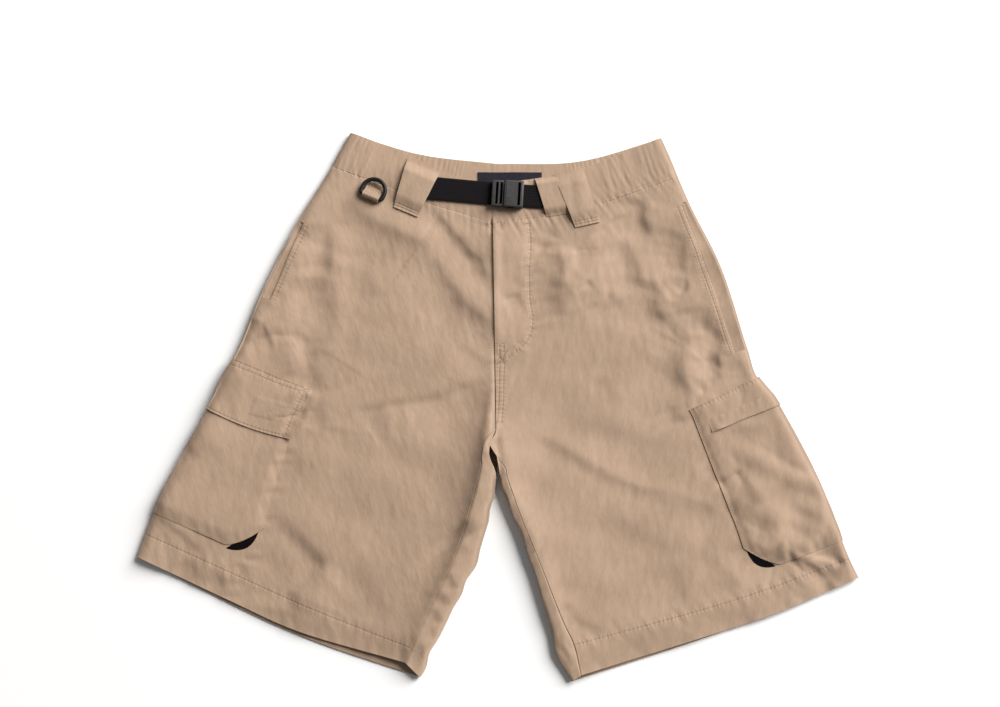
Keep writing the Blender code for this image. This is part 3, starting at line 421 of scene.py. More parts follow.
keyWay = (0.8, 0.6)     # towards the key light, in the plan
creaseForm = {
    "near": 1.7,        # steepness of the flank towards the light
    "far": 0.75,        # and of the one away from it
    "ease": 4.5,        # widths over which the cloth comes back
    "trough": 1.7,      # depth of a crease that points at the light
    "ends": 0.28,       # share of the length over which it fades
}


def creaseHeight(x, y):
    # tanh(distance / width) across each line, and exp(-distance^2) where the line points at the light
    total = np.zeros_like(x)
    for width, height, *line in creases:
        line = np.array(line, float)
        wide = 1.1 * width + 1.2
        (west, south), (east, north) = line.min(0) - 8 * wide, line.max(0) + 8 * wide
        near = (x > west) & (x < east) & (y > south) & (y < north)
        gap, along, way = nearLine(line, x[near], y[near])
        whole = wayAlong(line)[-1]
        fade = (softStep(along / whole / creaseForm["ends"] + 0.12)
                * softStep((whole - along) / whole / creaseForm["ends"] + 0.12))
        run = line[-1] - line[0]
        lean = (run[0] * keyWay[1] - run[1] * keyWay[0]) / np.hypot(*run)
        across = gap * way * np.sign(lean) + 0.16 * wide * wave(along, 5 * wide, height + line[0, 0])
        sharp = np.where(across > 0, creaseForm["near"], creaseForm["far"]) / wide
        step = np.tanh(across * sharp) / sharp / wide * bell(across / wide, creaseForm["ease"])
        step = step - creaseForm["trough"] * (1 - abs(lean)) ** 2 * bell(gap / wide, 0.8)
        total[near] -= 0.1 * height * wide * fade * step * (1 + 0.15 * wave(along, 3.4 * wide, 2 + line[0, 1]))
    return total


def rippleHeight(x, y):
    # uneven ripples that cross each sewn line, lean a little and die away from it
    total = np.zeros_like(x)
    for k, (line, pitch, rise, reach) in enumerate(seams):
        gap, along, way = nearLine(line, x, y)
        total += rise * wave(along + 0.35 * gap * way, pitch, k + 1.3) * bell(gap, reach)
    return total


def flyHeight(x, y):
    # the fly's lap and its folded edge
    beyond = x - flyX(y)
    lap = fabric["flyLip"] * softStep((beyond + 0.6) / 1.2) * softStep((fabric["flyWidth"] - beyond) / 8)
    edge = np.where(beyond > -0.4, bell(beyond, 7), 0) * softStep((206 - y) / 8)
    return (lap * softStep((y - fabric["flyEnd"]) / 20 + 1)
            + fabric["flyEdge"] * edge * softStep((y - fabric["flyEnd"]) / 30))


def upperLevel(x, y):
    # height of the middle of the upper layer
    hem = np.minimum(*(nearLine(line, x, y)[0] for line in hemLines))
    level = fabric["topLevel"] + fabric["bandRise"] * softStep((y - 150) / 55)
    level = level + fabric["thighRaise"] * softStep((205 - y) / 45) * (0.1 + 0.9 * softStep(hem / 30))
    calm, free = softStep((212 - y) / 30), softStep((246 - y) / 26)     # the waistband is stiffer
    level = level + puffHeight(x, y) + creaseHeight(x, y) * free + grain(x, y) * calm
    level = level + rippleHeight(x, y) * (0.4 + 0.6 * calm)
    return fabric["lowest"] + 0.5 * np.logaddexp(0, (level - fabric["lowest"]) / 0.5) + flyHeight(x, y)


def gridNormals(points, side, cells=None):
    # outward normals from the faces that meet at each point
    down = points[1:, 1:] - points[:-1, :-1]
    across = points[:-1, 1:] - points[1:, :-1]
    face = np.cross(down, across) * -side
    if cells is not None:
        face = face * cells[..., None]
    normal = np.zeros_like(points)
    for rows in (slice(None, -1), slice(1, None)):
        for columns in (slice(None, -1), slice(1, None)):
            normal[rows, columns] += face
    normal[np.linalg.norm(normal, axis=-1) < 1e-9] = (0, 0, 1)
    return unit(normal)


def layHalf(side, table):
    # one half as a ring of cloth in each row: side fold, top, leg's inside, floor, side fold
    r, rowOf = sectionRows(table, side)
    columns, mark = [], {}
    radius, floor = fabric["edgeRadius"], fabric["floorLevel"]
    who = "right" if side < 0 else "left"
    edge = foldMeasure(who + " outer", r["outer"][:, 1], "stand")
    legEdge = foldMeasure(who + " inner", r["edge"][:, 1], "stand")

    def add(xy, z=None):
        z = upperLevel(*xy.T) if z is None else np.broadcast_to(z, len(xy))
        columns.append(np.column_stack([xy, z]))

    line = (r["outer"], r["guide"], r["middle"], r["inner"])
    inward = unit(r["guide"] - r["outer"])
    fold = r["outer"] + inward * fabric["outlineInset"]
    for a in np.radians(np.linspace(0, 90, 9)[:-1]):
        xy = fold + inward * radius * (1 - cos(a))
        add(xy, edge + (upperLevel(*xy.T) - edge) * sin(a))
    mark["slash"] = len(columns)
    start = r["slash"] / np.linalg.norm(r["guide"] - r["outer"], axis=1)
    for part in np.linspace(0, 1, 41):
        add(alongRow(line, start + (1 - start) * part))
    mark["guide"] = len(columns) - 1
    for q in np.concatenate([np.linspace(1, 2, 27)[1:], np.linspace(2, 3, 47)[1:]]):
        add(alongRow(line, np.full(len(start), q)))
    mark["inseam"] = len(columns) - 1

    width = np.linalg.norm(r["edge"] - r["inner"], axis=1)
    turn = np.where(width[:, None] > 1, unit(r["inner"] - r["edge"]), -unit(r["inner"] - r["middle"]))
    legRadius = np.clip(width * (0.5 if side < 0 else 0.26), 0.1, radius)[:, None]
    crest = r["edge"] + turn * legRadius
    for part in np.linspace(0, 1, 9)[1:]:
        add(r["inner"] + (crest - r["inner"]) * part)
    for a in np.radians(np.linspace(90, 0, 7)[1:-1]):
        xy = r["edge"] + turn * legRadius * (1 - cos(a))
        top = upperLevel(*xy.T)
        rolled = legEdge + (top - legEdge) * sin(a)
        add(xy, r["rolled"] * rolled + (1 - r["rolled"]) * top)
    mark["leg fold"] = len(columns)
    inwardBack = unit(r["back"] - r["seat"])
    backRadius = np.where(r["rolled"] > 0, legRadius[:, 0], radius)[:, None]
    for a in np.radians(np.linspace(0, -90, 7)):
        z = floor + r["rolled"] * (legEdge - floor) * (1 + sin(a))
        add(r["seat"] + inwardBack * backRadius * (1 - cos(a)), z)
    for q in np.linspace(0.1, 1.9, 28):
        add(alongRow((r["seat"], r["back"], r["outer"]), np.full(len(start), q)), floor)
    for a in np.radians(np.linspace(-90, 0, 7)):
        add(fold + inward * radius * (1 - cos(a)), floor + (edge - floor) * (1 + sin(a)))
    points = np.stack(columns, axis=1)
    whole = np.ones((points.shape[0] - 1, points.shape[1] - 1), bool)
    whole[:rowOf["notch"], mark["leg fold"] - 1] = False
    normals = gridNormals(points, side, whole)
    normals[:, 0] = normals[:, -1] = unit(normals[:, 0] + normals[:, -1])
    return {"side": side, "rowOf": rowOf, "mark": mark, "strip": width, "points": points, "normals": normals}


def offsetLine(line, away):
    step = unit(np.gradient(np.asarray(line, float), axis=0))
    return line + np.column_stack([-step[:, 1], step[:, 0]]) * away


def slashLine(table, inset):
    # the hand pocket's mouth, moved towards the front
    outer, guide = (column(table, name, "slash top", "slash end") for name in ("outer", "guide"))
    places = np.linspace(rowAt(table, "slash top"), rowAt(table, "slash end"), len(outer))
    deep = np.interp(places, np.arange(len(table)), [row[-1] for row in table])
    return outer + unit(guide - outer) * (deep + inset)[:, None]


# Sewn rows on each sheet: the line of the plan, and half the distance between its two rows or zero.
stitches = {}
for who, table in tables.items():
    waist = section(table, "waist seam")
    stitches["front_" + who] = [(section(table, "hem stitch"), 0), (waist, 0),
                                (slashLine(table, 4.6), 2.7 if who == "left" else 0)]
    stitches["waistband_front_" + who] = [(offsetLine(waist, 3.6 * sides[who]), 1.7)]
stitches["front_left"] += [(jStitch, 0), ([(3.4, 60), (4.0, 40), (3.4, 20), (3.0, -3), (1.0, -30)], 2.4)]


def stitchField(points, rows):
    # for each point: signed distance to the nearest sewn line, the way along it, and its rows' spread
    x, y = points[..., 0], points[..., 1]
    away, place, spread = np.full(x.shape, 99.0), np.zeros(x.shape), np.zeros(x.shape)
    for line, half in rows:
        gap, along, way = nearLine(line, x, y)
        whole = wayAlong(line)[-1]
        ended = (along < 0.01) | (along > whole - 0.01)
        far = np.where(ended, 99, np.minimum(gap * (1 + 30 * softStep((gap - half - 6) / 2)), 99))
        closer = far < np.abs(away)
        away = np.where(closer, far * np.where(way < 0, -1, 1), away)
        place, spread = np.where(closer, along, place), np.where(closer, half, spread)
    return {"seamAway": away, "seamAlong": place, "seamSpread": spread}


def makeObject(name, vertices, faces, material, smooth=True, attributes=None):
    mesh = bpy.data.meshes.new(name)
    mesh.from_pydata((np.asarray(vertices, float) * mm).tolist(), [],
                     faces if isinstance(faces, list) else faces.tolist())
    mesh.update()
    if smooth:
        mesh.polygons.foreach_set("use_smooth", np.ones(len(mesh.polygons), bool))
        mesh.set_sharp_from_angle(angle=radians(50))
    for key, values in (attributes or {}).items():
        layer = mesh.attributes.new(key, "FLOAT", "POINT")
        layer.data.foreach_set("value", np.asarray(values, np.float32).ravel())
    thing = bpy.data.objects.new(name, mesh)
    bpy.context.scene.collection.objects.link(thing)
    mesh.materials.append(material)
    return thing


faceOf = {}                  # the outer face of each sheet, which stitches are laid on
made, threads = {}, {}       # each sheet and its stitches, by the solid that the sheet stands for


def shell(name, points, material, side=-1, inside=None, outside=None, cells=None, normals=None, turn=0.0,
          **attributes):
    # a closed sheet over the chosen cells of a grid: outer face, inner face, and a rim round them
    shape = points.shape[:2]
    normals = gridNormals(points, side, cells) if normals is None else normals
    inside = np.broadcast_to(fabric["half"] if inside is None else inside, shape)[..., None]
    outside = np.broadcast_to(fabric["half"] if outside is None else outside, shape)[..., None]
    cells = np.ones((shape[0] - 1, shape[1] - 1), bool) if cells is None else cells
    count = shape[0] * shape[1]
    faceOf[name] = points + normals * outside
    vertices = np.concatenate([faceOf[name].reshape(-1, 3),
                               (points - normals * inside).reshape(-1, 3)])
    number = np.arange(count).reshape(shape)
    i, j = np.nonzero(cells)
    corners = [number[i, j], number[i, j + 1], number[i + 1, j + 1], number[i + 1, j]]
    top = np.stack(corners, axis=-1)
    on = np.pad(cells, 1)
    beyond = (on[i, j + 1], on[i + 1, j + 2], on[i + 2, j + 1], on[i + 1, j])
    rims = []
    for k in range(4):
        p, q = corners[k][~beyond[k]], corners[(k + 1) % 4][~beyond[k]]
        rims.append(np.stack([q, p, p + count, q + count], axis=-1))
    faces = np.concatenate([top, top[:, ::-1] + count, *rims])
    if side < 0:
        faces = faces[:, ::-1]
    used, faces = np.unique(faces, return_inverse=True)
    attributes["turn"] = np.full(shape, turn)
    attributes.setdefault("seamAway", np.full(shape, 99.0))
    both = {k: np.concatenate([v.ravel(), v.ravel()])[used] for k, v in attributes.items()}
    thing = makeObject(name, vertices[used], faces.reshape(-1, 4), material, attributes=both)
    made[name.rsplit("_", 1)[0]] = thing
    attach(thing, "shorts")


# Materials
def newMaterial(name):
    material = bpy.data.materials.new(name)
    material.use_nodes = True
    return material, material.node_tree, material.node_tree.nodes["Principled BSDF"]


def fillInputs(tree, node, **inputs):
    # each input is either linked or given a value
    for key, value in inputs.items():
        socket = node.inputs[key.replace("_", " ")]
        if isinstance(value, bpy.types.NodeSocket):
            tree.links.new(value, socket)
        else:
            socket.default_value = value


def addNode(tree, kind, settings=None, **inputs):
    node = tree.nodes.new("ShaderNode" + kind)
    for key, value in (settings or {}).items():
        setattr(node, key, value)
    fillInputs(tree, node, **inputs)
    return node


def smoothMap(tree, value, start, end, low, high):
    # an S-shaped way from low to high between two values
    return addNode(tree, "MapRange", {"interpolation_type": "SMOOTHSTEP"}, Value=value, From_Min=start,
                   From_Max=end, To_Min=low, To_Max=high).outputs[0]


def colourRamp(tree, amount, first, *between, last):
    # a ramp of colours; each stop is a position and a colour
    ramp = addNode(tree, "ValToRGB", Fac=amount)
    elements = ramp.color_ramp.elements
    for element, (position, colour) in ((elements[0], first), (elements[1], last)):
        element.position, element.color = position, (*colour, 1)
    for position, colour in between:
        elements.new(position).color = (*colour, 1)
    return ramp.outputs[0]


def mathNode(tree, operation, a, b=None):
    node = tree.nodes.new("ShaderNodeMath")
    node.operation = operation
    for socket, value in zip(node.inputs, (a, b)):
        if value is None:
            continue
        if isinstance(value, bpy.types.NodeSocket):
            tree.links.new(value, socket)
        else:
            socket.default_value = value
    return node.outputs[0]


def plus(tree, a, b):
    return mathNode(tree, "ADD", a, b)


def minus(tree, a, b):
    return mathNode(tree, "SUBTRACT", a, b)


def times(tree, a, b):
    return mathNode(tree, "MULTIPLY", a, b)


def newGroup(name, *inputs):
    # a group that gives a height and a shade
    group = bpy.data.node_groups.new(name, "ShaderNodeTree")
    for label in inputs:
        socket = group.interface.new_socket(label, in_out="INPUT", socket_type="NodeSocketFloat")
        socket.default_value = 1.0
    for label in ("Height", "Shade"):
        group.interface.new_socket(label, in_out="OUTPUT", socket_type="NodeSocketFloat")
    return group, group.nodes.new("NodeGroupInput"), group.nodes.new("NodeGroupOutput")


def slubGroup():
    # crinkled slub: soft crumples, drawn-out noise along the grain, blotches and a fine weave
    group, given, result = newGroup("slub cloth", "Crinkle")
    place = addNode(group, "TexCoord").outputs["Object"]
    turn = addNode(group, "Attribute", {"attribute_name": "turn"}).outputs["Fac"]
    place = addNode(group, "VectorRotate", {"rotation_type": "Z_AXIS"}, Vector=place, Angle=turn).outputs[0]

    def noise(scale, detail, roughness, stretch=(1, 1, 1)):
        placed = addNode(group, "Mapping", Vector=place, Scale=stretch).outputs[0]
        value = addNode(group, "TexNoise", Vector=placed, Scale=scale, Detail=detail,
                        Roughness=roughness).outputs[0]
        return minus(group, value, 0.5)

    thread = noise(700.0, 3.0, 0.6, (1, 0.2, 1))
    crinkle = noise(210.0, 3.0, 0.55, (1, 0.5, 1))
    crumple = noise(60.0, 2.0, 0.5, (1, 0.5, 1))
    blotch = noise(24.0, 4.0, 0.6)
    rough = plus(group, times(group, crinkle, 0.6), times(group, crumple, 3.0))
    rough = times(group, rough, given.outputs["Crinkle"])
    height = plus(group, times(group, thread, 0.3), rough)
    shade = plus(group, times(group, thread, 0.5), blotch)
    fillInputs(group, result, Height=height, Shade=shade)
    return group


def sewnGroup():
    # rows of stitches draw the cloth in along a groove and pucker it across; the Shade output is painted shade, a
    # mask that darkens the colour along the groove
    group, _, result = newGroup("sewn rows")

    def read(name):
        return addNode(group, "Attribute", {"attribute_name": name}).outputs["Fac"]

    place = addNode(group, "TexCoord").outputs["Object"]
    noise = addNode(group, "TexNoise", Vector=place, Scale=120.0, Detail=2.0).outputs[0]
    beside = minus(group, mathNode(group, "ABSOLUTE", read("seamAway")), read("seamSpread"))
    row = mathNode(group, "ABSOLUTE", beside)
    groove = smoothMap(group, row, 0.0, 1.5, 1.0, 0.0)
    near = smoothMap(group, beside, 0.0, 5.5, 1.0, 0.0)
    turn = plus(group, times(group, read("seamAlong"), 1.35), times(group, noise, 9.0))
    uneven = times(group, times(group, near, noise), 0.15)
    pucker = times(group, mathNode(group, "SINE", turn), uneven)
    height = minus(group, pucker, times(group, groove, 0.2))
    fillInputs(group, result, Height=height, Shade=groove)
    return group


slub = slubGroup()
sewn = sewnGroup()


def clothMaterial(name, colour, dark, light, crinkle=1.0):
    # taupe cloth with the slub's colour and bump, drawn in along its sewn rows, with painted shade along the rows
    # and on the rim towards the key light
    material, tree, shader = newMaterial(name)
    cloth = addNode(tree, "Group", {"node_tree": slub}, Crinkle=crinkle)
    rows = addNode(tree, "Group", {"node_tree": sewn})
    tint = colourRamp(tree, plus(tree, cloth.outputs["Shade"], 0.5), (0.12, dark), (0.5, colour),
                      last=(0.88, light))
    height = plus(tree, times(tree, cloth.outputs["Height"], 0.0003), times(tree, rows.outputs["Height"], 0.001))
    bump = addNode(tree, "Bump", Height=height, Strength=1.0, Distance=1.0)
    # painted shade: the colour is darkened by up to 8 % along the sewn rows' grooves
    shade = minus(tree, 1.0, times(tree, rows.outputs["Shade"], 0.08))
    # painted shade: the rim that rounds down to the table towards the key light has its colour darkened to as little
    # as 0.55, which keeps it from glowing
    facing = addNode(tree, "VectorMath", {"operation": "DOT_PRODUCT"})
    tree.links.new(addNode(tree, "NewGeometry").outputs["Normal"], facing.inputs[0])
    facing.inputs[1].default_value = (*keyWay, 0.0)
    shade = times(tree, shade, smoothMap(tree, facing.outputs["Value"], 0.2, 0.7, 1.0, 0.55))
    tinted = addNode(tree, "VectorMath", {"operation": "SCALE"}, Vector=tint, Scale=shade)
    fillInputs(tree, shader, Base_Color=tinted.outputs[0], Normal=bump.outputs[0], Roughness=0.72,
               Specular_IOR_Level=0.3, Sheen_Weight=0.18, Sheen_Roughness=0.5, Sheen_Tint=(1.0, 0.93, 0.86, 1))
    return material


def plainMaterial(name, colour, rough, scale, bump, spread=0.25, shine=0.5, stretch=(1, 1, 1)):
    # one colour broken up by a grain of the given scale, in the colour, the gloss and the bump
    material, tree, shader = newMaterial(name)
    place = addNode(tree, "TexCoord").outputs["Object"]
    placed = addNode(tree, "Mapping", Vector=place, Scale=stretch).outputs[0]
    noise = addNode(tree, "TexNoise", Vector=placed, Scale=scale, Detail=4.0, Roughness=0.6).outputs[0]
    tint = colourRamp(tree, noise, (0.3, [c * (1 - spread) for c in colour]),
                      last=(0.7, [c * (1 + spread) for c in colour]))
    gloss = addNode(tree, "MapRange", Value=noise, To_Min=rough - 0.08, To_Max=rough + 0.08).outputs[0]
    relief = addNode(tree, "Bump", Height=noise, Strength=0.6, Distance=bump)
    fillInputs(tree, shader, Base_Color=tint, Roughness=gloss, Normal=relief.outputs[0], Specular_IOR_Level=shine)
    return material


def webbingMaterial(turn):
    # ribs along the webbing and picks across them, in the colour and the bump
    material, tree, shader = newMaterial("blackWebbing")
    place = addNode(tree, "TexCoord").outputs["Object"]
    placed = addNode(tree, "Mapping", Vector=place, Rotation=(0, 0, -turn)).outputs[0]
    rib = addNode(tree, "TexWave", {"bands_direction": "Y"}, Vector=placed, Scale=95.0, Distortion=0.6,
                  Detail=1.0).outputs["Fac"]
    pick = addNode(tree, "TexWave", {"bands_direction": "DIAGONAL"}, Vector=placed, Scale=180.0,
                   Distortion=1.0).outputs["Fac"]
    both = plus(tree, times(tree, rib, 0.65), times(tree, pick, 0.35))
    tint = colourRamp(tree, both, (0.0, (0.007, 0.006, 0.007)), last=(1.0, (0.010, 0.0088, 0.010)))
    relief = addNode(tree, "Bump", Height=both, Strength=0.3, Distance=0.0002)
    fillInputs(tree, shader, Base_Color=tint, Normal=relief.outputs[0], Roughness=0.75, Specular_IOR_Level=0.05)
    return material


taupe = clothMaterial("taupeCloth", (0.364, 0.252, 0.175), (0.318, 0.217, 0.149), (0.406, 0.286, 0.2))
taupeTab = clothMaterial("taupeTab", (0.36, 0.255, 0.18), (0.31, 0.215, 0.15), (0.41, 0.295, 0.21), crinkle=0.5)
threadTan = plainMaterial("taupeThread", (0.36, 0.255, 0.18), 0.65, 900.0, 0.0001)
threadOchre = plainMaterial("ochreThread", (0.60, 0.42, 0.13), 0.6, 900.0, 0.0001)
netBlack = plainMaterial("blackNet", (0.005, 0.0035, 0.0045), 0.8, 900.0, 0.0004, spread=0.6, shine=0.03)
labelCloth = plainMaterial("wovenLabel", (0.015, 0.014, 0.022), 0.7, 1200.0, 0.0002, spread=0.4, shine=0.15,
                           stretch=(0.3, 1, 1))
buckleGrey = plainMaterial("buckleGrey", (0.042, 0.038, 0.039), 0.5, 420.0, 0.00012, spread=0.18, shine=0.3)
ringBlack = plainMaterial("ringBlack", (0.011, 0.010, 0.011), 0.5, 300.0, 0.0001, spread=0.2, shine=0.2)
webbing = webbingMaterial(radians(-5))
print("materials made")

# Panels
right = layHalf(-1, rightSections)
left = layHalf(1, leftSections)
halves = {"right": right, "left": left}
print("grid of", right["points"].shape[:2], "and", left["points"].shape[:2])

def wholeLift(half):
    return np.zeros(half["points"].shape[:2])


def blankCells(half):
    return np.zeros((half["points"].shape[0] - 1, half["points"].shape[1] - 1), bool)


def layer(name, half, points, normals, lift, **more):
    # cloth of one half, moved along its normals by lift
    shell(name, points + normals * lift[..., None], taupe, half["side"], normals=normals,
          turn=half["side"] * fabric["grainTurn"], **more)


mouth = {
    "lip": 0.1,          # how far the folded edge of a hand pocket stands up
    "reach": 9.0,
    "under": 5,          # columns of the facing that pass under it
    "sink": 1.25,        # how far the facing lies below the front
    "thin": 0.7,         # share of its wall that the folded edge loses
}


def panels(half, who):
    rowOf, mark, sheet = half["rowOf"], half["mark"], (half["points"], half["normals"])
    seam, hem = rowOf["waist seam"], rowOf["hem stitch"]
    slash, inseam, fold = mark["slash"], mark["inseam"], mark["leg fold"]
    x, y = half["points"][..., 0], half["points"][..., 1]
    row, place = np.arange(len(x))[:, None], np.arange(x.shape[1])[None, :]
    slit = slice(rowOf["slash top"], rowOf["slash end"])
    inMouth = softStep((row - slit.start + 6) / 6.0) * softStep((slit.stop + 6 - row) / 6.0)

    cells = blankCells(half)
    cells[seam - 4:, :inseam] = True
    cells[slit, :slash] = False
    lift = wholeLift(half) - fabric["tuck"] * softStep((seam + 0.3 - row) / 2.5)
    if who == "right":
        lift = lift - (row <= rowOf["crotch seam"]) * (fabric["tuck"] - 0.1) * softStep((x - flyX(y) + 2.2) / 2)
    away = np.hypot(x - x[:, slash:slash + 1], y - y[:, slash:slash + 1])
    lift = lift + mouth["lip"] * inMouth * bell(away, mouth["reach"])
    hemmed = np.where(row > hem, fabric["half"] + fabric["hemExtra"], fabric["half"])
    thinned = fabric["half"] * (1 - mouth["thin"] * inMouth * bell(away, 2.5))
    layer("front_" + who + "_cloth", half, *sheet, lift, cells=cells, inside=hemmed, outside=thinned,
          **stitchField(half["points"], stitches["front_" + who]))

    cells = blankCells(half)
    cells[slit.start - 4:slit.stop + 4, :slash + mouth["under"]] = True
    lift = wholeLift(half) - mouth["sink"] * softStep((place - slash + 3) / 2.6)
    ended = 1 - softStep((row - slit.start + 2) / 2.0) * softStep((slit.stop + 2 - row) / 2.0)
    lift = np.maximum(lift - mouth["sink"] * ended, -fabric["tuck"])
    layer("pocket_facing_" + who + "_cloth", half, *sheet, lift, cells=cells)

    cells = blankCells(half)
    cells[seam:, fold:] = True
    strip = int(np.argmax(half["strip"] > 0.3))
    cells[strip:, inseam - 3:fold - 1] = True
    cells[rowOf["notch"]:, fold - 1] = True
    lift = wholeLift(half) - fabric["tuck"] * softStep((inseam + 1.2 - place) / 2.0) * (place < fold)
    layer("back_" + who + "_cloth", half, *sheet, lift, cells=cells, inside=hemmed)


gathers = {
    # from and to along the piece from its side fold, how many, and how far they rise
    "waistband_front_right": ((5, 39, 6, 0.5), (44, 150, 14, 0.2)),
    "waistband_front_left": ((5, 36, 5, 0.32), (40, 88, 3, 0.5), (92, 190, 13, 0.22)),
    "waistband_back": ((12, 160, 26, 0.45), (160, 245, 12, 0.2), (245, 384, 24, 0.45)),
    "step": 1.4,
    "crown": 0.5,        # how far the casing swells between its edges
}


def gatherHeight(along, down, zones):
    # pleats of uneven pitch with round crests and narrow valleys, which lean a little
    height = np.zeros(np.broadcast(along, down).shape)
    for start, end, count, rise in zones:
        lean = 1.6 * np.sin(down * 2.4 + along * 0.09)
        f = np.clip((along + lean - start) / (end - start), 0, 1)
        uneven = f + 0.35 / count * np.sin(2 * pi * f) * np.sin(9 * f + count)
        crest = np.abs(np.sin(pi * count * uneven)) ** 0.8 * (0.75 + 0.25 * np.sin(37 * f + 5 * down))
        height += rise * crest * softStep(6 * f) * softStep(6 - 6 * f)
    return height


def bandPiece(name, points, normals, side, face):
    middle = points[len(points) // 2]
    knots = wayAlong(middle)
    at = np.linspace(0, knots[-1], int(knots[-1] / gathers["step"]) + 1)
    fine = [np.stack([readAlong(row, knots, at) for row in grid]) for grid in (points, normals)]
    down = np.linspace(0, 1, len(points))[:, None]
    crown = gathers["crown"] * (1 - (2 * down - 1) ** 2)
    rise = gatherHeight(at[None, :], down, gathers[name]) + crown
    thick = {"outside": fabric["half"], "inside": fabric["half"] + fabric["bandExtra"]}
    thick[face] = thick[face] + rise
    if name in stitches:
        thick.update(stitchField(fine[0], stitches[name]))
    shell(name + "_cloth", fine[0], taupe, side, normals=unit(fine[1]), **thick)


for who, half in halves.items():
    panels(half, who)
for who, half in halves.items():
    strip = (slice(0, half["rowOf"]["waist seam"] + 1), slice(0, half["mark"]["inseam"] + 1))
    bandPiece("waistband_front_" + who, half["points"][strip], half["normals"][strip], half["side"], "outside")


def backBand():
    rows = min(right["rowOf"]["waist seam"], left["rowOf"]["waist seam"]) + 1
    parts = []
    for half in (right, left):
        fold, top = half["mark"]["leg fold"], half["rowOf"]["waist seam"]
        keep = np.concatenate([[fold], np.arange(fold + 7, half["points"].shape[1])])
        at = np.linspace(0, top, rows)
        low = np.clip(np.floor(at).astype(int), 0, top - 1)
        f = (at - low)[:, None, None]
        parts.append([grid[low][:, keep] * (1 - f) + grid[low + 1][:, keep] * f
                      for grid in (half["points"], half["normals"])])
    (a, na), (b, nb) = [[g[:, ::-1] for g in parts[0]], parts[1]]
    middle = (a[:, -1:] + b[:, :1]) / 2
    middle[..., 0] = 0
    points = np.concatenate([a[:, :-1], middle, b[:, 1:]], axis=1)
    normals = np.concatenate([na[:, :-1], nb[:, :1], nb[:, 1:]], axis=1)
    bandPiece("waistband_back", points, normals, 1, "inside")


backBand()
print("panels and waistband made")


# What lies on the panels
def sample(half, rows, columns):
    # points and normals of the ring at fractional rows and columns; columns below 0 wrap round
    shape = half["points"].shape
    last = shape[1] - 1
    columns = np.where(columns < 0, columns + last, columns)
    i = np.clip(np.floor(rows).astype(int), 0, shape[0] - 2)
    j = np.clip(np.floor(columns).astype(int), 0, last - 1)
    f, g = (rows - i)[..., None], (columns - j)[..., None]
    found = []
    for grid in (half["points"], half["normals"]):
        found.append((grid[i, j] * (1 - g) + grid[i, j + 1] * g) * (1 - f)
                     + (grid[i + 1, j] * (1 - g) + grid[i + 1, j + 1] * g) * f)
    return found[0], unit(found[1])


pocketCloth = {
    "lift": 1.2,           # the pocket's middle over the panel's
    "sewnDrop": 0.5,       # and lower where it is sewn down, away from the net
    "puff": 1.7,           # how far the pocket swells between its sewn edges
    "fade": 14.0,
    "flapGap": 0.75,       # the flap's middle over the pocket's
    "flapEdge": 0.6,       # and its free edge stands off
    "tapeRise": 0.34,      # the hook tape lifts the flap's middle
}


def edgeDistance(points, lines):
    away = np.full(points.shape[:2], 1e3)
    for line in lines:
        away = np.minimum(away, nearLine(line, points[..., 0], points[..., 1])[0])
    return away


def pocketRise(points, u, guide, sewn):
    # how far the pocket's cloth lies over the panel, from its sewn lower and front edges
    away = edgeDistance(points, sewn)
    lift = pocketCloth["lift"] - pocketCloth["sewnDrop"] * softStep((u - 1) / 4) * softStep(3 - u / guide / 0.18)
    ripple = 0.3 * wave(points[..., 0] + 0.4 * points[..., 1], 14, 2.0) * bell(away, 10)
    ripple = ripple * softStep(away / 3)
    return lift + pocketCloth["puff"] * softStep(away / pocketCloth["fade"]) * softStep((u + 2) / 6) + ripple


def cargoPocket(name, half, top, corner):
    # the pocket's body; corner says where the cut of its lower front corner starts, and its depth in rows
    guide = half["mark"]["guide"]
    u = np.concatenate([[-2.0, -1.0], np.linspace(0, guide, guide + 10)])[None, :]
    v = np.linspace(0, 1, 90)[:, None]
    first, last = half["rowOf"][top], half["rowOf"]["pocket bottom"]
    across = np.clip((u / guide - corner[0]) / (1 - corner[0]), 0, 1)
    bottom = last - corner[1] * across ** 1.25
    rows = first + (bottom - first) * v
    points, normals = sample(half, rows, u * np.ones_like(rows))
    sewn = [points[-1, :, :2], points[:, -1, :2]]
    lift = pocketRise(points, u, guide, sewn)
    flat = 0.25 + 0.35 * softStep(edgeDistance(points, sewn) / 4)
    topRow = offsetLine(points[0, ::3, :2], 1.8 * half["side"])
    layer(name, half, points, normals, lift, inside=flat, outside=flat, **stitchField(points, [(topRow, 0)]))
    return sewn


def leafPatch(start, end, bulge, lift):
    # net between the pocket's cut corner and a curve that bulges out of it
    start, end, bulge = (np.array(p[:2], float) for p in (start, end, bulge))
    f = np.linspace(0.01, 0.99, 31)[:, None, None]
    g = np.linspace(0, 1, 9)[None, :, None]
    out = bulge - (start + end) / 2
    xy = start + (end - start) * f + out * g * np.sin(pi * f) ** 0.8
    z = upperLevel(xy[..., 0], xy[..., 1]) + lift - 0.3 * g[..., 0]
    return np.dstack([xy, z])


cuff = {"right": (0.73, 13.0), "left": (0.73, 15.0)}   # where the corner's cut starts, and its depth in rows
sewnRight = cargoPocket("cargo_pocket_right_cloth", right, "flap top", cuff["right"])
sewnLeft = cargoPocket("cargo_pocket_left_cloth", left, "pocket top", cuff["left"])

net = {
    "right": ((-256.9, -142.9), (-291.5, -163.1), (-268.6, -162.6)),    # the leaf's two ends and its bulge
    "left": ((265.1, -161.5), (297.1, -181.9), (276.3, -180.6)),
    "lift": 0.85,
    "half": 0.15,
}
for who in halves:
    grid = leafPatch(*net[who], net["lift"])
    turned = np.cross(grid[0, -1] - grid[0, 0], grid[-1, 0] - grid[0, 0])[2]
    shell("drain_gusset_" + who + "_net", grid, netBlack, -1 if turned < 0 else 1, inside=net["half"],
          outside=net["half"], normals=upward(grid))

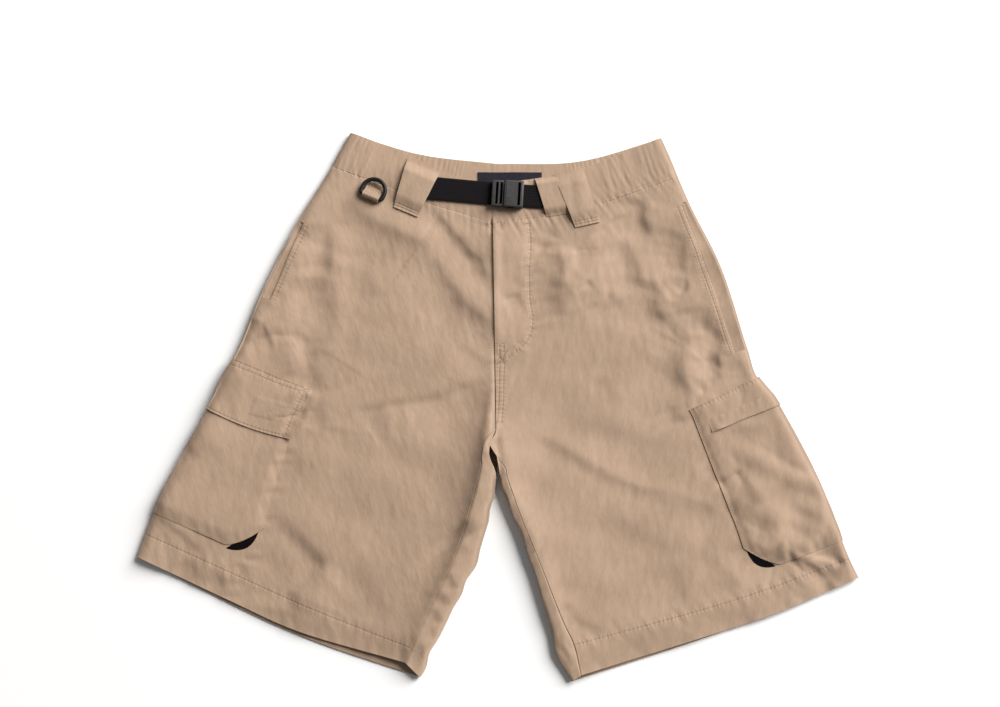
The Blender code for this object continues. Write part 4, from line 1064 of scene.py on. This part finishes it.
hookTape = np.array([(-263.6, 0.8), (-225.2, -10.2), (-232.9, -27.7), (-269.5, -19.0)])   # under the flap


def within(points, corners):
    # how far inside an outline, whose corners go round clockwise, each point lies
    away = np.full(points.shape[:2], 1e3)
    for a, b in zip(corners, np.roll(corners, -1, axis=0)):
        along = unit(b - a)
        away = np.minimum(away, along[1] * (points[..., 0] - a[0]) - along[0] * (points[..., 1] - a[1]))
    return away


def onPocket(name, half, top, bottom, sewn, last, extra=0.0, freeRows=0.0, freeEdge=0.0, bow=0.0, thick=1.2,
             blend=1.0, gape=0.0):
    # a flap over the pocket, sewn at its top, whose lower and front edges stand off
    first, deep, side = half["rowOf"][top], half["rowOf"][bottom] - half["rowOf"][top], half["side"]
    u = np.linspace(0, last, int(last) + 14)[None, :]
    v = np.linspace(0, 1, int(deep * 1.3) + 4)[:, None]
    rows = first + deep * v + bow * np.sin(pi * u / last) * v
    points, normals = sample(half, rows, u * np.ones_like(rows))
    x, y = points[..., 0], points[..., 1]
    away, front = edgeDistance(points, [points[0, :, :2]]), edgeDistance(points, [points[:, -1, :2]])
    under = pocketRise(points, u, half["mark"]["guide"], sewn)
    raised = np.maximum(under, pocketCloth["lift"] + softStep(away / 8))
    raised = raised + pocketCloth["flapGap"] + extra + freeRows * v ** 2
    raised = raised + freeEdge * bell(front, 6) * softStep(away / 20)
    raised = raised + 0.14 * wave(x + 0.3 * y, 9, 0.7) * bell(away, 9)
    raised = raised + 0.25 * softStep(v / 0.3) * (1 + wave(x, 31, 1.9))
    raised = raised + pocketCloth["tapeRise"] * softStep((within(points, hookTape) + 1.2) / 2.4)
    raised = raised + gape * bell(front - 9, 6) * v ** 3
    sewnDown = (1 - blend) * (1 - softStep(front / 7))
    wall = thick / 2 * (1 - sewnDown)
    raised = raised - (thick / 2 + 0.2) * sewnDown
    rows = [(offsetLine(points[0, ::2, :2], 4.2 * side), 2.6), (offsetLine(points[-1, ::-2, :2], 2.2 * side), 0),
            (offsetLine(points[::2, -1, :2], 8.5 * side), 0)] if blend == 1 else []
    layer(name, half, points, normals, raised, inside=wall, outside=wall, **stitchField(points, rows))


onPocket("cargo_flap_right_cloth", right, "flap top", "flap bottom", sewnRight, right["mark"]["guide"] + 0.6,
         extra=0.15, freeRows=0.1, freeEdge=pocketCloth["flapEdge"], bow=2.0)
onPocket("cargo_placket_left_cloth", left, "welt top", "welt bottom", sewnLeft, left["mark"]["guide"] - 7,
         freeRows=0.75, thick=0.6, blend=0.15, gape=1.3)
print("cargo pockets made")


# Belt: webbing, loops, casing and buckle
belt = {
    "width": 26.0,
    "thick": 1.8,
    "level": 7.5,              # middle of the webbing
    "sag": 0.105,
    "buckle": (6.0, 228.6),    # seam between the buckle's halves
    "turn": radians(-3.5),
    "longTurn": radians(-5.5),
    "long": (-96.0, -0.8),     # ends of the webbing, from that seam
    "short": (16.6, 58.0),
}
webTop = belt["level"] + belt["thick"] / 2 + 0.3


def webStrip(name, ends, turn):
    # a stretch of webbing, a little slack between its ends and thinner at its edges
    along, across = np.array((cos(turn), sin(turn))), np.array((-sin(turn), cos(turn)))
    u = np.linspace(*ends, int((ends[1] - ends[0]) / 1.5))[None, :, None]
    v = np.linspace(0.5, -0.5, 25)[:, None, None]
    xy = np.array(belt["buckle"]) + u * along + v * across * belt["width"]
    edge = (0.5 - np.abs(v[..., 0])) * belt["width"] * np.ones(xy.shape[:2])
    sag = belt["sag"] * np.sin(pi * (u[..., 0] - ends[0]) / (ends[1] - ends[0])) * np.ones(xy.shape[:2])
    grid = np.dstack([xy, belt["level"] - sag])
    thick = belt["thick"] / 2 * (1 - 0.35 * bell(edge, 0.8))
    shell(name, grid, webbing, -1, inside=thick, outside=thick, normals=upward(grid))


webStrip("belt_webbing_long_strap", belt["long"], belt["longTurn"])
webStrip("belt_webbing_short_strap", belt["short"], belt["turn"])


def clothPatch(name, corners, height, material=None, counts=(26, 48), thick=1.2, taper=False, rows=()):
    # a four-sided piece of cloth over the front; height gives its middle from the place and its share
    a, b, c, d = (np.array(p, float) for p in corners)
    u = np.linspace(0, 1, counts[0])[None, :, None]
    v = np.linspace(0, 1, counts[1])[:, None, None]
    xy = (1 - v) * ((1 - u) * a + u * b) + v * ((1 - u) * d + u * c)
    z = height(xy[..., 0], xy[..., 1], u[..., 0], v[..., 0])
    grid = np.dstack([xy, z])
    if taper:
        thick = thick * (1 - 0.75 * softStep((v[..., 0] - 0.85) / 0.15)) * np.ones(xy.shape[:2])
    sewnRows = stitchField(grid, rows) if rows else {}
    shell(name, grid, material or taupe, -1, inside=thick / 2, outside=thick / 2, **sewnRows)


def loopHeight(x, y, u, v):
    # rises over the webbing and comes down to the waistband at both ends
    rest = upperLevel(x, y) + fabric["half"] * 2 + 0.4
    over = webTop + fabric["half"] + 0.3
    hump = softStep(v / 0.26) * softStep((1 - v) / 0.28)
    folds = 0.25 * np.sin(u * 9 + v * 4) * np.sin(pi * v)
    sides = -0.3 * (np.abs(2 * u - 1)) ** 6
    return rest * (1 - hump) + np.maximum(over, rest) * hump + folds + sides


clothPatch("belt_loop_right_cloth", ((-102, 271), (-65, 255), (-90, 203), (-117, 214.5)), loopHeight,
           rows=[([(-116, 218.4), (-90, 207.2)], 1.6)])
clothPatch("belt_loop_left_cloth", ((62, 252), (95, 260), (113, 197), (86, 191)), loopHeight,
           rows=[([(85.5, 195.3), (112, 201.2)], 1.6)])


def casingHeight(x, y, u, v):
    # sewn down to the waistband above and below, open towards the buckle
    rest = upperLevel(x, y) + fabric["half"] * 2 + 0.35 - 0.5 * softStep((v - 0.8) / 0.2)
    over = webTop + fabric["half"] + 0.15 * np.sin(u * 7) * np.sin(pi * v)
    hump = softStep(v / 0.18) * softStep((1 - v) / 0.22)
    return rest * (1 - hump) + np.maximum(over, rest) * hump


clothPatch("belt_casing_left_cloth", ((41, 247.5), (66, 251), (79, 207.5), (54, 203.5)), casingHeight,
           counts=(18, 36), thick=0.8, taper=True)


def box(size, centre, bevel=0.0, segments=3):
    bpy.ops.mesh.primitive_cube_add(size=1)
    thing = bpy.context.object
    thing.data.transform(Matrix.Diagonal((*[s * mm for s in size], 1)))
    thing.data.transform(Matrix.Translation([c * mm for c in centre]))
    if bevel:
        rounding = thing.modifiers.new("edges", "BEVEL")
        rounding.width = bevel * mm
        rounding.segments = segments
        rounding.limit_method = "NONE"
    return thing


def combine(base, others, operation):
    for other in others:
        step = base.modifiers.new("combine", "BOOLEAN")
        step.operation = operation
        step.object = other
        step.solver = "EXACT"
    mesh = bpy.data.meshes.new_from_object(base.evaluated_get(bpy.context.evaluated_depsgraph_get()))
    for other in others:
        bpy.data.objects.remove(other)
    base.modifiers.clear()
    base.data = mesh
    return base


buckle = {
    "socket": (22.0, 31.0, 8.4),      # length, width, height
    "frame": (13.0, 30.0, 4.6),
    "floor": 6.5,
}


def makeBuckle():
    # side-release buckle, fastened; lengths run from the seam between its halves
    low, (length, width, high) = buckle["floor"], buckle["socket"]
    socket = box(buckle["socket"], (length / 2 + 0.2, 0, low + high / 2), 1.5)
    cuts = [box((16, 24.6, 4.6), (7.2, 0, low + 4.3)),         # the hollow that the prongs lie in
            box((3.0, 26.4, 12), (17.4, 0, low + 4), 0.3),     # the slot for the webbing
            box((8, 26.6, 6), (19.8, 0, webTop - 3)),          # and room for it under the bar
            box((0.7, 31.5, 0.7), (2.6, 0, low + high))]       # a groove across the top
    # the openings at the sides that the prongs' heads show in
    cuts += [box((7, 8, 4.2), (8.4, s * width / 2, low + 4.3), 0.3) for s in (-1, 1)]
    combine(socket, cuts, "DIFFERENCE")
    bottom = webTop + 0.1
    depth, _, thick = buckle["frame"]
    plug = box(buckle["frame"], (-depth / 2 - 0.3, 0, bottom + thick / 2), 1.1)
    combine(plug, [box((2.8, 25.4, 12), (x, 0, bottom + 2), 0.3) for x in (-7.4, -2.5)], "DIFFERENCE")
    # two prongs, their heads and the tongue between them
    prongs = [box((13.5, 3.0, 3.4), (5.2, s * 9.8, low + 4.3), 0.4) for s in (-1, 1)]
    prongs += [box((5.4, 3.4, 3.4), (8.3, s * 12.6, low + 4.3), 0.4) for s in (-1, 1)]
    prongs.append(box((12, 4.0, 3.0), (4.8, 0, low + 4.3), 0.4))
    combine(plug, prongs, "UNION")
    place = Matrix.Translation((belt["buckle"][0] * mm, belt["buckle"][1] * mm, 0))
    place = place @ Matrix.Rotation(belt["turn"], 4, "Z")
    for name, thing in (("buckle_socket", socket), ("buckle_plug", plug)):
        thing.name = thing.data.name = name + "_moulding"
        thing.data.transform(place)
        thing.data.materials.clear()
        thing.data.materials.append(buckleGrey)
        thing.data.polygons.foreach_set("use_smooth", np.ones(len(thing.data.polygons), bool))
        thing.data.set_sharp_from_angle(angle=radians(35))
        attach(thing, "shorts")
        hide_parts(name)


makeBuckle()
print("belt made")

# D-ring and its tab
ring = {
    "rod": 4.6,
    "half": 13.0,              # from the middle to the rod's middle at the sides
    "straight": 7.6,
    "corner": 3.4,
    "bar": (-142.3, 225.8, 10.1),
    "turn": atan2(-8, 19),
    "play": 0.35,
    "tabWidth": 19.4,
    "tail": 11.5,
}


def placeRing(points):
    c, s = cos(ring["turn"]), sin(ring["turn"])
    x, y, z = np.moveaxis(points, -1, 0)
    return np.stack([ring["bar"][0] + x * c - y * s, ring["bar"][1] + x * s + y * c, ring["bar"][2] + z], axis=-1)


def makeRing():
    # a round rod carried along the D: bar, corner, side, half circle, side, corner
    half, corner, straight = ring["half"], ring["corner"], ring["straight"]

    def arc(x, y, radius, start, end, count):
        a = np.radians(np.linspace(start, end, count))
        return np.stack([x + radius * np.cos(a), y + radius * np.sin(a)], axis=-1)

    line = np.concatenate([
        np.stack([np.linspace(-half + corner, half - corner, 12), np.zeros(12)], axis=-1)[:-1],
        arc(half - corner, corner, corner, -90, 0, 9), arc(0, straight, half, 0, 180, 49),
        arc(-half + corner, corner, corner, 180, 270, 9)[:-1]])
    tangent = unit(np.roll(line, -1, 0) - np.roll(line, 1, 0))
    out = np.column_stack([tangent[:, 1], -tangent[:, 0]])
    a = np.linspace(0, 2 * pi, 21)[:-1][:, None, None]
    xy = line[None] + out[None] * np.cos(a) * ring["rod"] / 2
    z = np.sin(a) * ring["rod"] / 2 * np.ones((1, len(line), 1))
    points = placeRing(np.concatenate([xy, z], axis=-1))
    s, k = np.meshgrid(np.arange(20), np.arange(len(line)), indexing="ij")
    n = len(line)
    t, m = (s + 1) % 20, (k + 1) % n
    faces = np.stack([s * n + k, s * n + m, t * n + m, t * n + k], axis=-1).reshape(-1, 4)
    thing = makeObject("d_ring_rod", points.reshape(-1, 3), faces, ringBlack)
    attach(thing, "d_ring")
    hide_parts("d_ring")


def makeTab():
    # cloth folded round the bar: a tunnel and a flat tail, its outline carried along the bar
    middle = ring["rod"] / 2 + ring["play"] + fabric["half"]
    low, end = -middle, ring["tail"] - 0.6
    a = np.radians(np.linspace(20, 270, 34))
    loop = np.stack([middle * np.cos(a), middle * np.sin(a)], axis=-1)
    tail = np.column_stack([np.linspace(1.2, end, 12), np.full(12, low)])
    top = [(end, low + 1.35), (9, low + 1.4), (7.2, low + 1.75), (5.8, low + 2.35), (4.6, low + 3.1), (3.7, 0.2)]
    outline = np.concatenate([top, loop, tail])
    knots = wayAlong(outline)
    y, z = smoothCurve(knots, outline, np.linspace(0, knots[-1], 90)).T
    x = np.linspace(-0.5, 0.5, 27)[:, None] * ring["tabWidth"]
    puffed = 0.12 * np.sin(x * 1.9) * np.ones((1, len(y)))
    grid = np.stack([x + 0 * y, y + 0 * x, z + np.where(z > low + 0.6, puffed, 0)], axis=-1)
    shell("d_ring_tab_cloth", placeRing(grid), taupeTab, 1, inside=0.55, outside=0.55)


makeRing()
makeTab()


# Woven label inside the back waistband, bare
label = {"corners": ((-23, 256), (49, 256), (49, 236), (-23, 236)), "level": 2.7}
clothPatch("back_label_woven", label["corners"],
           lambda x, y, u, v: label["level"] + 0.25 * np.sin(u * 11 + 1) * (1 - v) ** 2,
           labelCloth, counts=(40, 14), thick=0.7)


# Sewing
def insetLine(name, edge, inset, start=0.0, end=0.0):
    # a line at a distance inside one edge of a sheet's outer face
    face = faceOf[name]
    grid = {"top": face, "bottom": face[::-1], "front": face.swapaxes(0, 1)[::-1]}[edge]
    line = np.stack([readAlong(inward, wayAlong(inward), inset) for inward in grid.swapaxes(0, 1)])
    return trimmed(line, start, end)


def onPiece(name, line, spacing=2.0):
    # a line of the plan laid on a sheet's outer face, by the four nearest points
    line = np.asarray(line, float)
    knots = wayAlong(line)
    xy = readAlong(line, knots, np.linspace(0, knots[-1], max(2, int(knots[-1] / spacing))))
    face = faceOf[name].reshape(-1, 3)
    close = (face[:, :2] > xy.min(0) - 5).all(1) & (face[:, :2] < xy.max(0) + 5).all(1) & (face[:, 2] > 2.0)
    face = face[close]
    gap = np.hypot(face[None, :, 0] - xy[:, :1], face[None, :, 1] - xy[:, 1:])
    near = np.argpartition(gap, 4, axis=1)[:, :4]
    weight = 1 / (np.take_along_axis(gap, near, 1) + 0.1) ** 2
    return np.column_stack([xy, (face[near, 2] * weight).sum(1) / weight.sum(1)])


def trimmed(line, start, end):
    # a line without so many millimetres at each end
    knots = wayAlong(line)
    return readAlong(line, knots, np.linspace(start, knots[-1] - end, len(line)))


thread = {"long": 2.3, "thick": 0.42, "pitch": 3.2}


def capsule():
    # a short fat stitch: two tips and two rings of five
    rings = [(-0.32, 0.5), (0.32, 0.5)]
    a = np.linspace(0, 2 * pi, 6)[:-1]
    points = [(-0.5, 0, 0)]
    for x, size in rings:
        points += [(x, size * cos(k), size * sin(k)) for k in a]
    points.append((0.5, 0, 0))
    faces = []
    for k in range(5):
        m = (k + 1) % 5
        faces += [(0, 1 + m, 1 + k), (1 + k, 1 + m, 6 + m), (1 + k, 6 + m, 6 + k), (6 + k, 6 + m, 11)]
    return np.array(points), np.array(faces)


def sewing(name, runs, material=None):
    # stitches laid along lines of points, each along the line and in the cloth's surface
    shape, faces = capsule()
    places, ways = [], []
    for run in runs:
        run = np.asarray(run, float)
        knots = wayAlong(run)
        at = np.arange(thread["pitch"] * 0.7, knots[-1], thread["pitch"])
        places.append(readAlong(run, knots, at))
        ways.append(unit(readAlong(run, knots, np.minimum(at + 0.8, knots[-1]))
                         - readAlong(run, knots, np.maximum(at - 0.8, 0))))
    p, t = np.concatenate(places), np.concatenate(ways)
    s = unit(np.cross(np.array([0, 0, 1.0]), t))
    n = np.cross(t, s)
    x, y, z = (shape * (thread["long"], thread["thick"], thread["thick"] * 0.8)).T[:, None, :, None]
    vertices = p[:, None] + t[:, None] * x + s[:, None] * y + n[:, None] * z
    many = faces[None] + (np.arange(len(p)) * len(shape))[:, None, None]
    thing = makeObject(name, vertices.reshape(-1, 3), many.reshape(-1, 3), material or threadTan)
    threads[name.rsplit("_", 1)[0]] = thing
    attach(thing, "shorts")


runs = {"right": [], "left": []}
for who, half in halves.items():
    front = "front_" + who + "_cloth"
    runs[who].append(onPiece(front, trimmed(section(tables[who], "hem stitch"), 3, 4)))
    mouthRows = slice(half["rowOf"]["slash top"], half["rowOf"]["slash end"] + 1)
    mouthLine = half["points"][mouthRows, half["mark"]["slash"], :2]
    inward = unit(half["points"][mouthRows, half["mark"]["slash"] + 6, :2] - mouthLine)
    runs[who] += [onPiece(front, mouthLine + inward * inset) for inset in (2.0, 7.5)]
runs["left"] += [onPiece("front_left_cloth", offsetLine(jStitch, inset)) for inset in (0, -5.5)]
runs["left"].append(onPiece("front_left_cloth", [(5.6, 53.5), (6.9, 40.1), (6.2, 20), (5.6, -3.1), (3.0, -36.0)]))
for who in halves:
    sewing("front_" + who + "_topstitch", runs[who])
for who, start in (("right", 62), ("left", 0)):
    sheet = "cargo_pocket_" + who + "_cloth"
    sewing("cargo_pocket_" + who + "_topstitch", [insetLine(sheet, "front", 1.8, start, 3),
                                                  insetLine(sheet, "bottom", 1.8, 4, 3)])

# the flap's edges, the patch that holds its hook tape with a cross, and its corner
onFlap = [insetLine("cargo_flap_right_cloth", "top", inset, 4, 2) for inset in (1.5, 7.0)]
onFlap += [insetLine("cargo_flap_right_cloth", "front", inset, 2, inset) for inset in (2.0, 8.0)]
onFlap.append(insetLine("cargo_flap_right_cloth", "bottom", 2.0, 4, 2))
onFlap += [onPiece("cargo_flap_right_cloth", [hookTape[k], hookTape[m]]) for k, m in
           ((0, 1), (1, 2), (2, 3), (3, 0), (0, 2), (1, 3))]
onFlap += [onPiece("cargo_flap_right_cloth", [(-222, 13.5 - k), (-207, 7.5 - k)]) for k in (0.0, 1.6, 3.2)]
sewing("cargo_flap_right_topstitch", onFlap)
sewing("cargo_placket_left_topstitch", [insetLine("cargo_placket_left_cloth", "bottom", 1.5, 4, 2)])
tabLow = 0.65 - ring["rod"] / 2 - ring["play"] - fabric["half"]
tabLines = [[placeRing(np.array([(x, y, tabLow + rise)]))[0] for x in np.linspace(-8, 8, 12)]
            for y, rise in ((6.6, 2.0), (7.3, 1.8), (8.0, 1.65))]
sewing("d_ring_tab_bartack", tabLines, threadOchre)
print("sewing made")

# Every sheet stands for a solid: its finish, its flat cut in metres (width, length and area), and
# the sheet that it rests on.
sheets = {
    "front_right": ("shell_cloth", 0.33, 0.53, 0.138, "back_right"),
    "front_left": ("shell_cloth", 0.34, 0.54, 0.140, "back_left"),
    "back_right": ("shell_cloth", 0.37, 0.54, 0.157, None),
    "back_left": ("shell_cloth", 0.37, 0.54, 0.153, None),
    "pocket_facing_right": ("pocket_cloth", 0.05, 0.11, 0.0030, "back_right"),
    "pocket_facing_left": ("pocket_cloth", 0.05, 0.19, 0.0045, "back_left"),
    "waistband_front_right": ("shell_cloth", 0.205, 0.05, 0.008, "waistband_back"),
    "waistband_front_left": ("shell_cloth", 0.24, 0.05, 0.009, "waistband_back"),
    "waistband_back": ("shell_cloth", 0.46, 0.05, 0.019, None),
    "cargo_pocket_right": ("shell_cloth", 0.13, 0.20, 0.019, "front_right"),
    "cargo_pocket_left": ("shell_cloth", 0.14, 0.20, 0.019, "front_left"),
    "cargo_flap_right": ("shell_cloth", 0.105, 0.07, 0.0050, "cargo_pocket_right"),
    "cargo_placket_left": ("shell_cloth", 0.11, 0.03, 0.0016, "cargo_pocket_left"),
    "drain_gusset_right": ("drain_mesh", 0.03, 0.02, 0.0003, "front_right"),
    "drain_gusset_left": ("drain_mesh", 0.03, 0.02, 0.0003, "front_left"),
    "belt_loop_right": ("shell_cloth", 0.045, 0.085, 0.0024, "waistband_front_right"),
    "belt_loop_left": ("shell_cloth", 0.045, 0.085, 0.0024, "waistband_front_left"),
    "belt_casing_left": ("shell_cloth", 0.03, 0.045, 0.0012, "belt_webbing_short"),
    "belt_webbing_long": ("black_webbing", 0.09, 0.026, None, "waistband_front_right"),
    "belt_webbing_short": ("black_webbing", 0.042, 0.026, None, "waistband_front_left"),
    "d_ring_tab": ("pocket_cloth", 0.02, 0.045, None, "front_right"),
    "back_label": ("label_dark", 0.072, 0.022, None, "waistband_back"),
}
for node, (slot, wide, long, area, under) in sheets.items():
    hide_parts(node)


# Table, light and camera
def makeTable():
    size = 3000.0
    grid = [(-size, -size, 0), (size, -size, 0), (size, size, 0), (-size, size, 0)]
    material = plainMaterial("paleTable", (0.88, 0.88, 0.88), 0.8, 40.0, 0.0, spread=0.0)
    table = makeObject("table", grid, [(0, 1, 2, 3)], material, smooth=False)


makeTable()
studio = {
    "elevation": 80.0,             # of the camera, in degrees above the table
    "away": 1.53,                  # its distance and everything below in metres
    "aim": (0.002, 0.0495, 0.0),
    "lens": 50.0,
    "keyPlace": (7.0, 5.3, 4.7),
    "keySize": 7.0,
    "keyPower": 2700.0,
    "sky": 0.17,
}


def aimed(thing, place, aim):
    thing.location = place
    thing.rotation_euler = (Vector(aim) - Vector(place)).to_track_quat("-Z", "Y").to_euler()
    bpy.context.scene.collection.objects.link(thing)
    return thing


def makeStudio():
    scene = bpy.context.scene
    a = radians(studio["elevation"])
    aim = Vector(studio["aim"])
    camera = bpy.data.objects.new("camera", bpy.data.cameras.new("camera"))
    camera.data.lens = studio["lens"]
    camera.data.sensor_width = 36.0
    aimed(camera, aim + Vector((0, -cos(a), sin(a))) * studio["away"], aim)
    scene.camera = camera
    light = bpy.data.lights.new("key", "AREA")
    light.energy = studio["keyPower"]
    light.size = studio["keySize"]
    light.color = (1.0, 0.985, 0.965)
    aimed(bpy.data.objects.new("key", light), studio["keyPlace"], (0.0, 0.0, 0.0))
    scene.world = scene.world or bpy.data.worlds.new("sky")
    scene.world.use_nodes = True
    sky = scene.world.node_tree.nodes["Background"]
    sky.inputs["Color"].default_value = (1.0, 1.0, 1.0, 1)
    sky.inputs["Strength"].default_value = studio["sky"]
    scene.view_settings.view_transform = "Standard"


makeStudio()
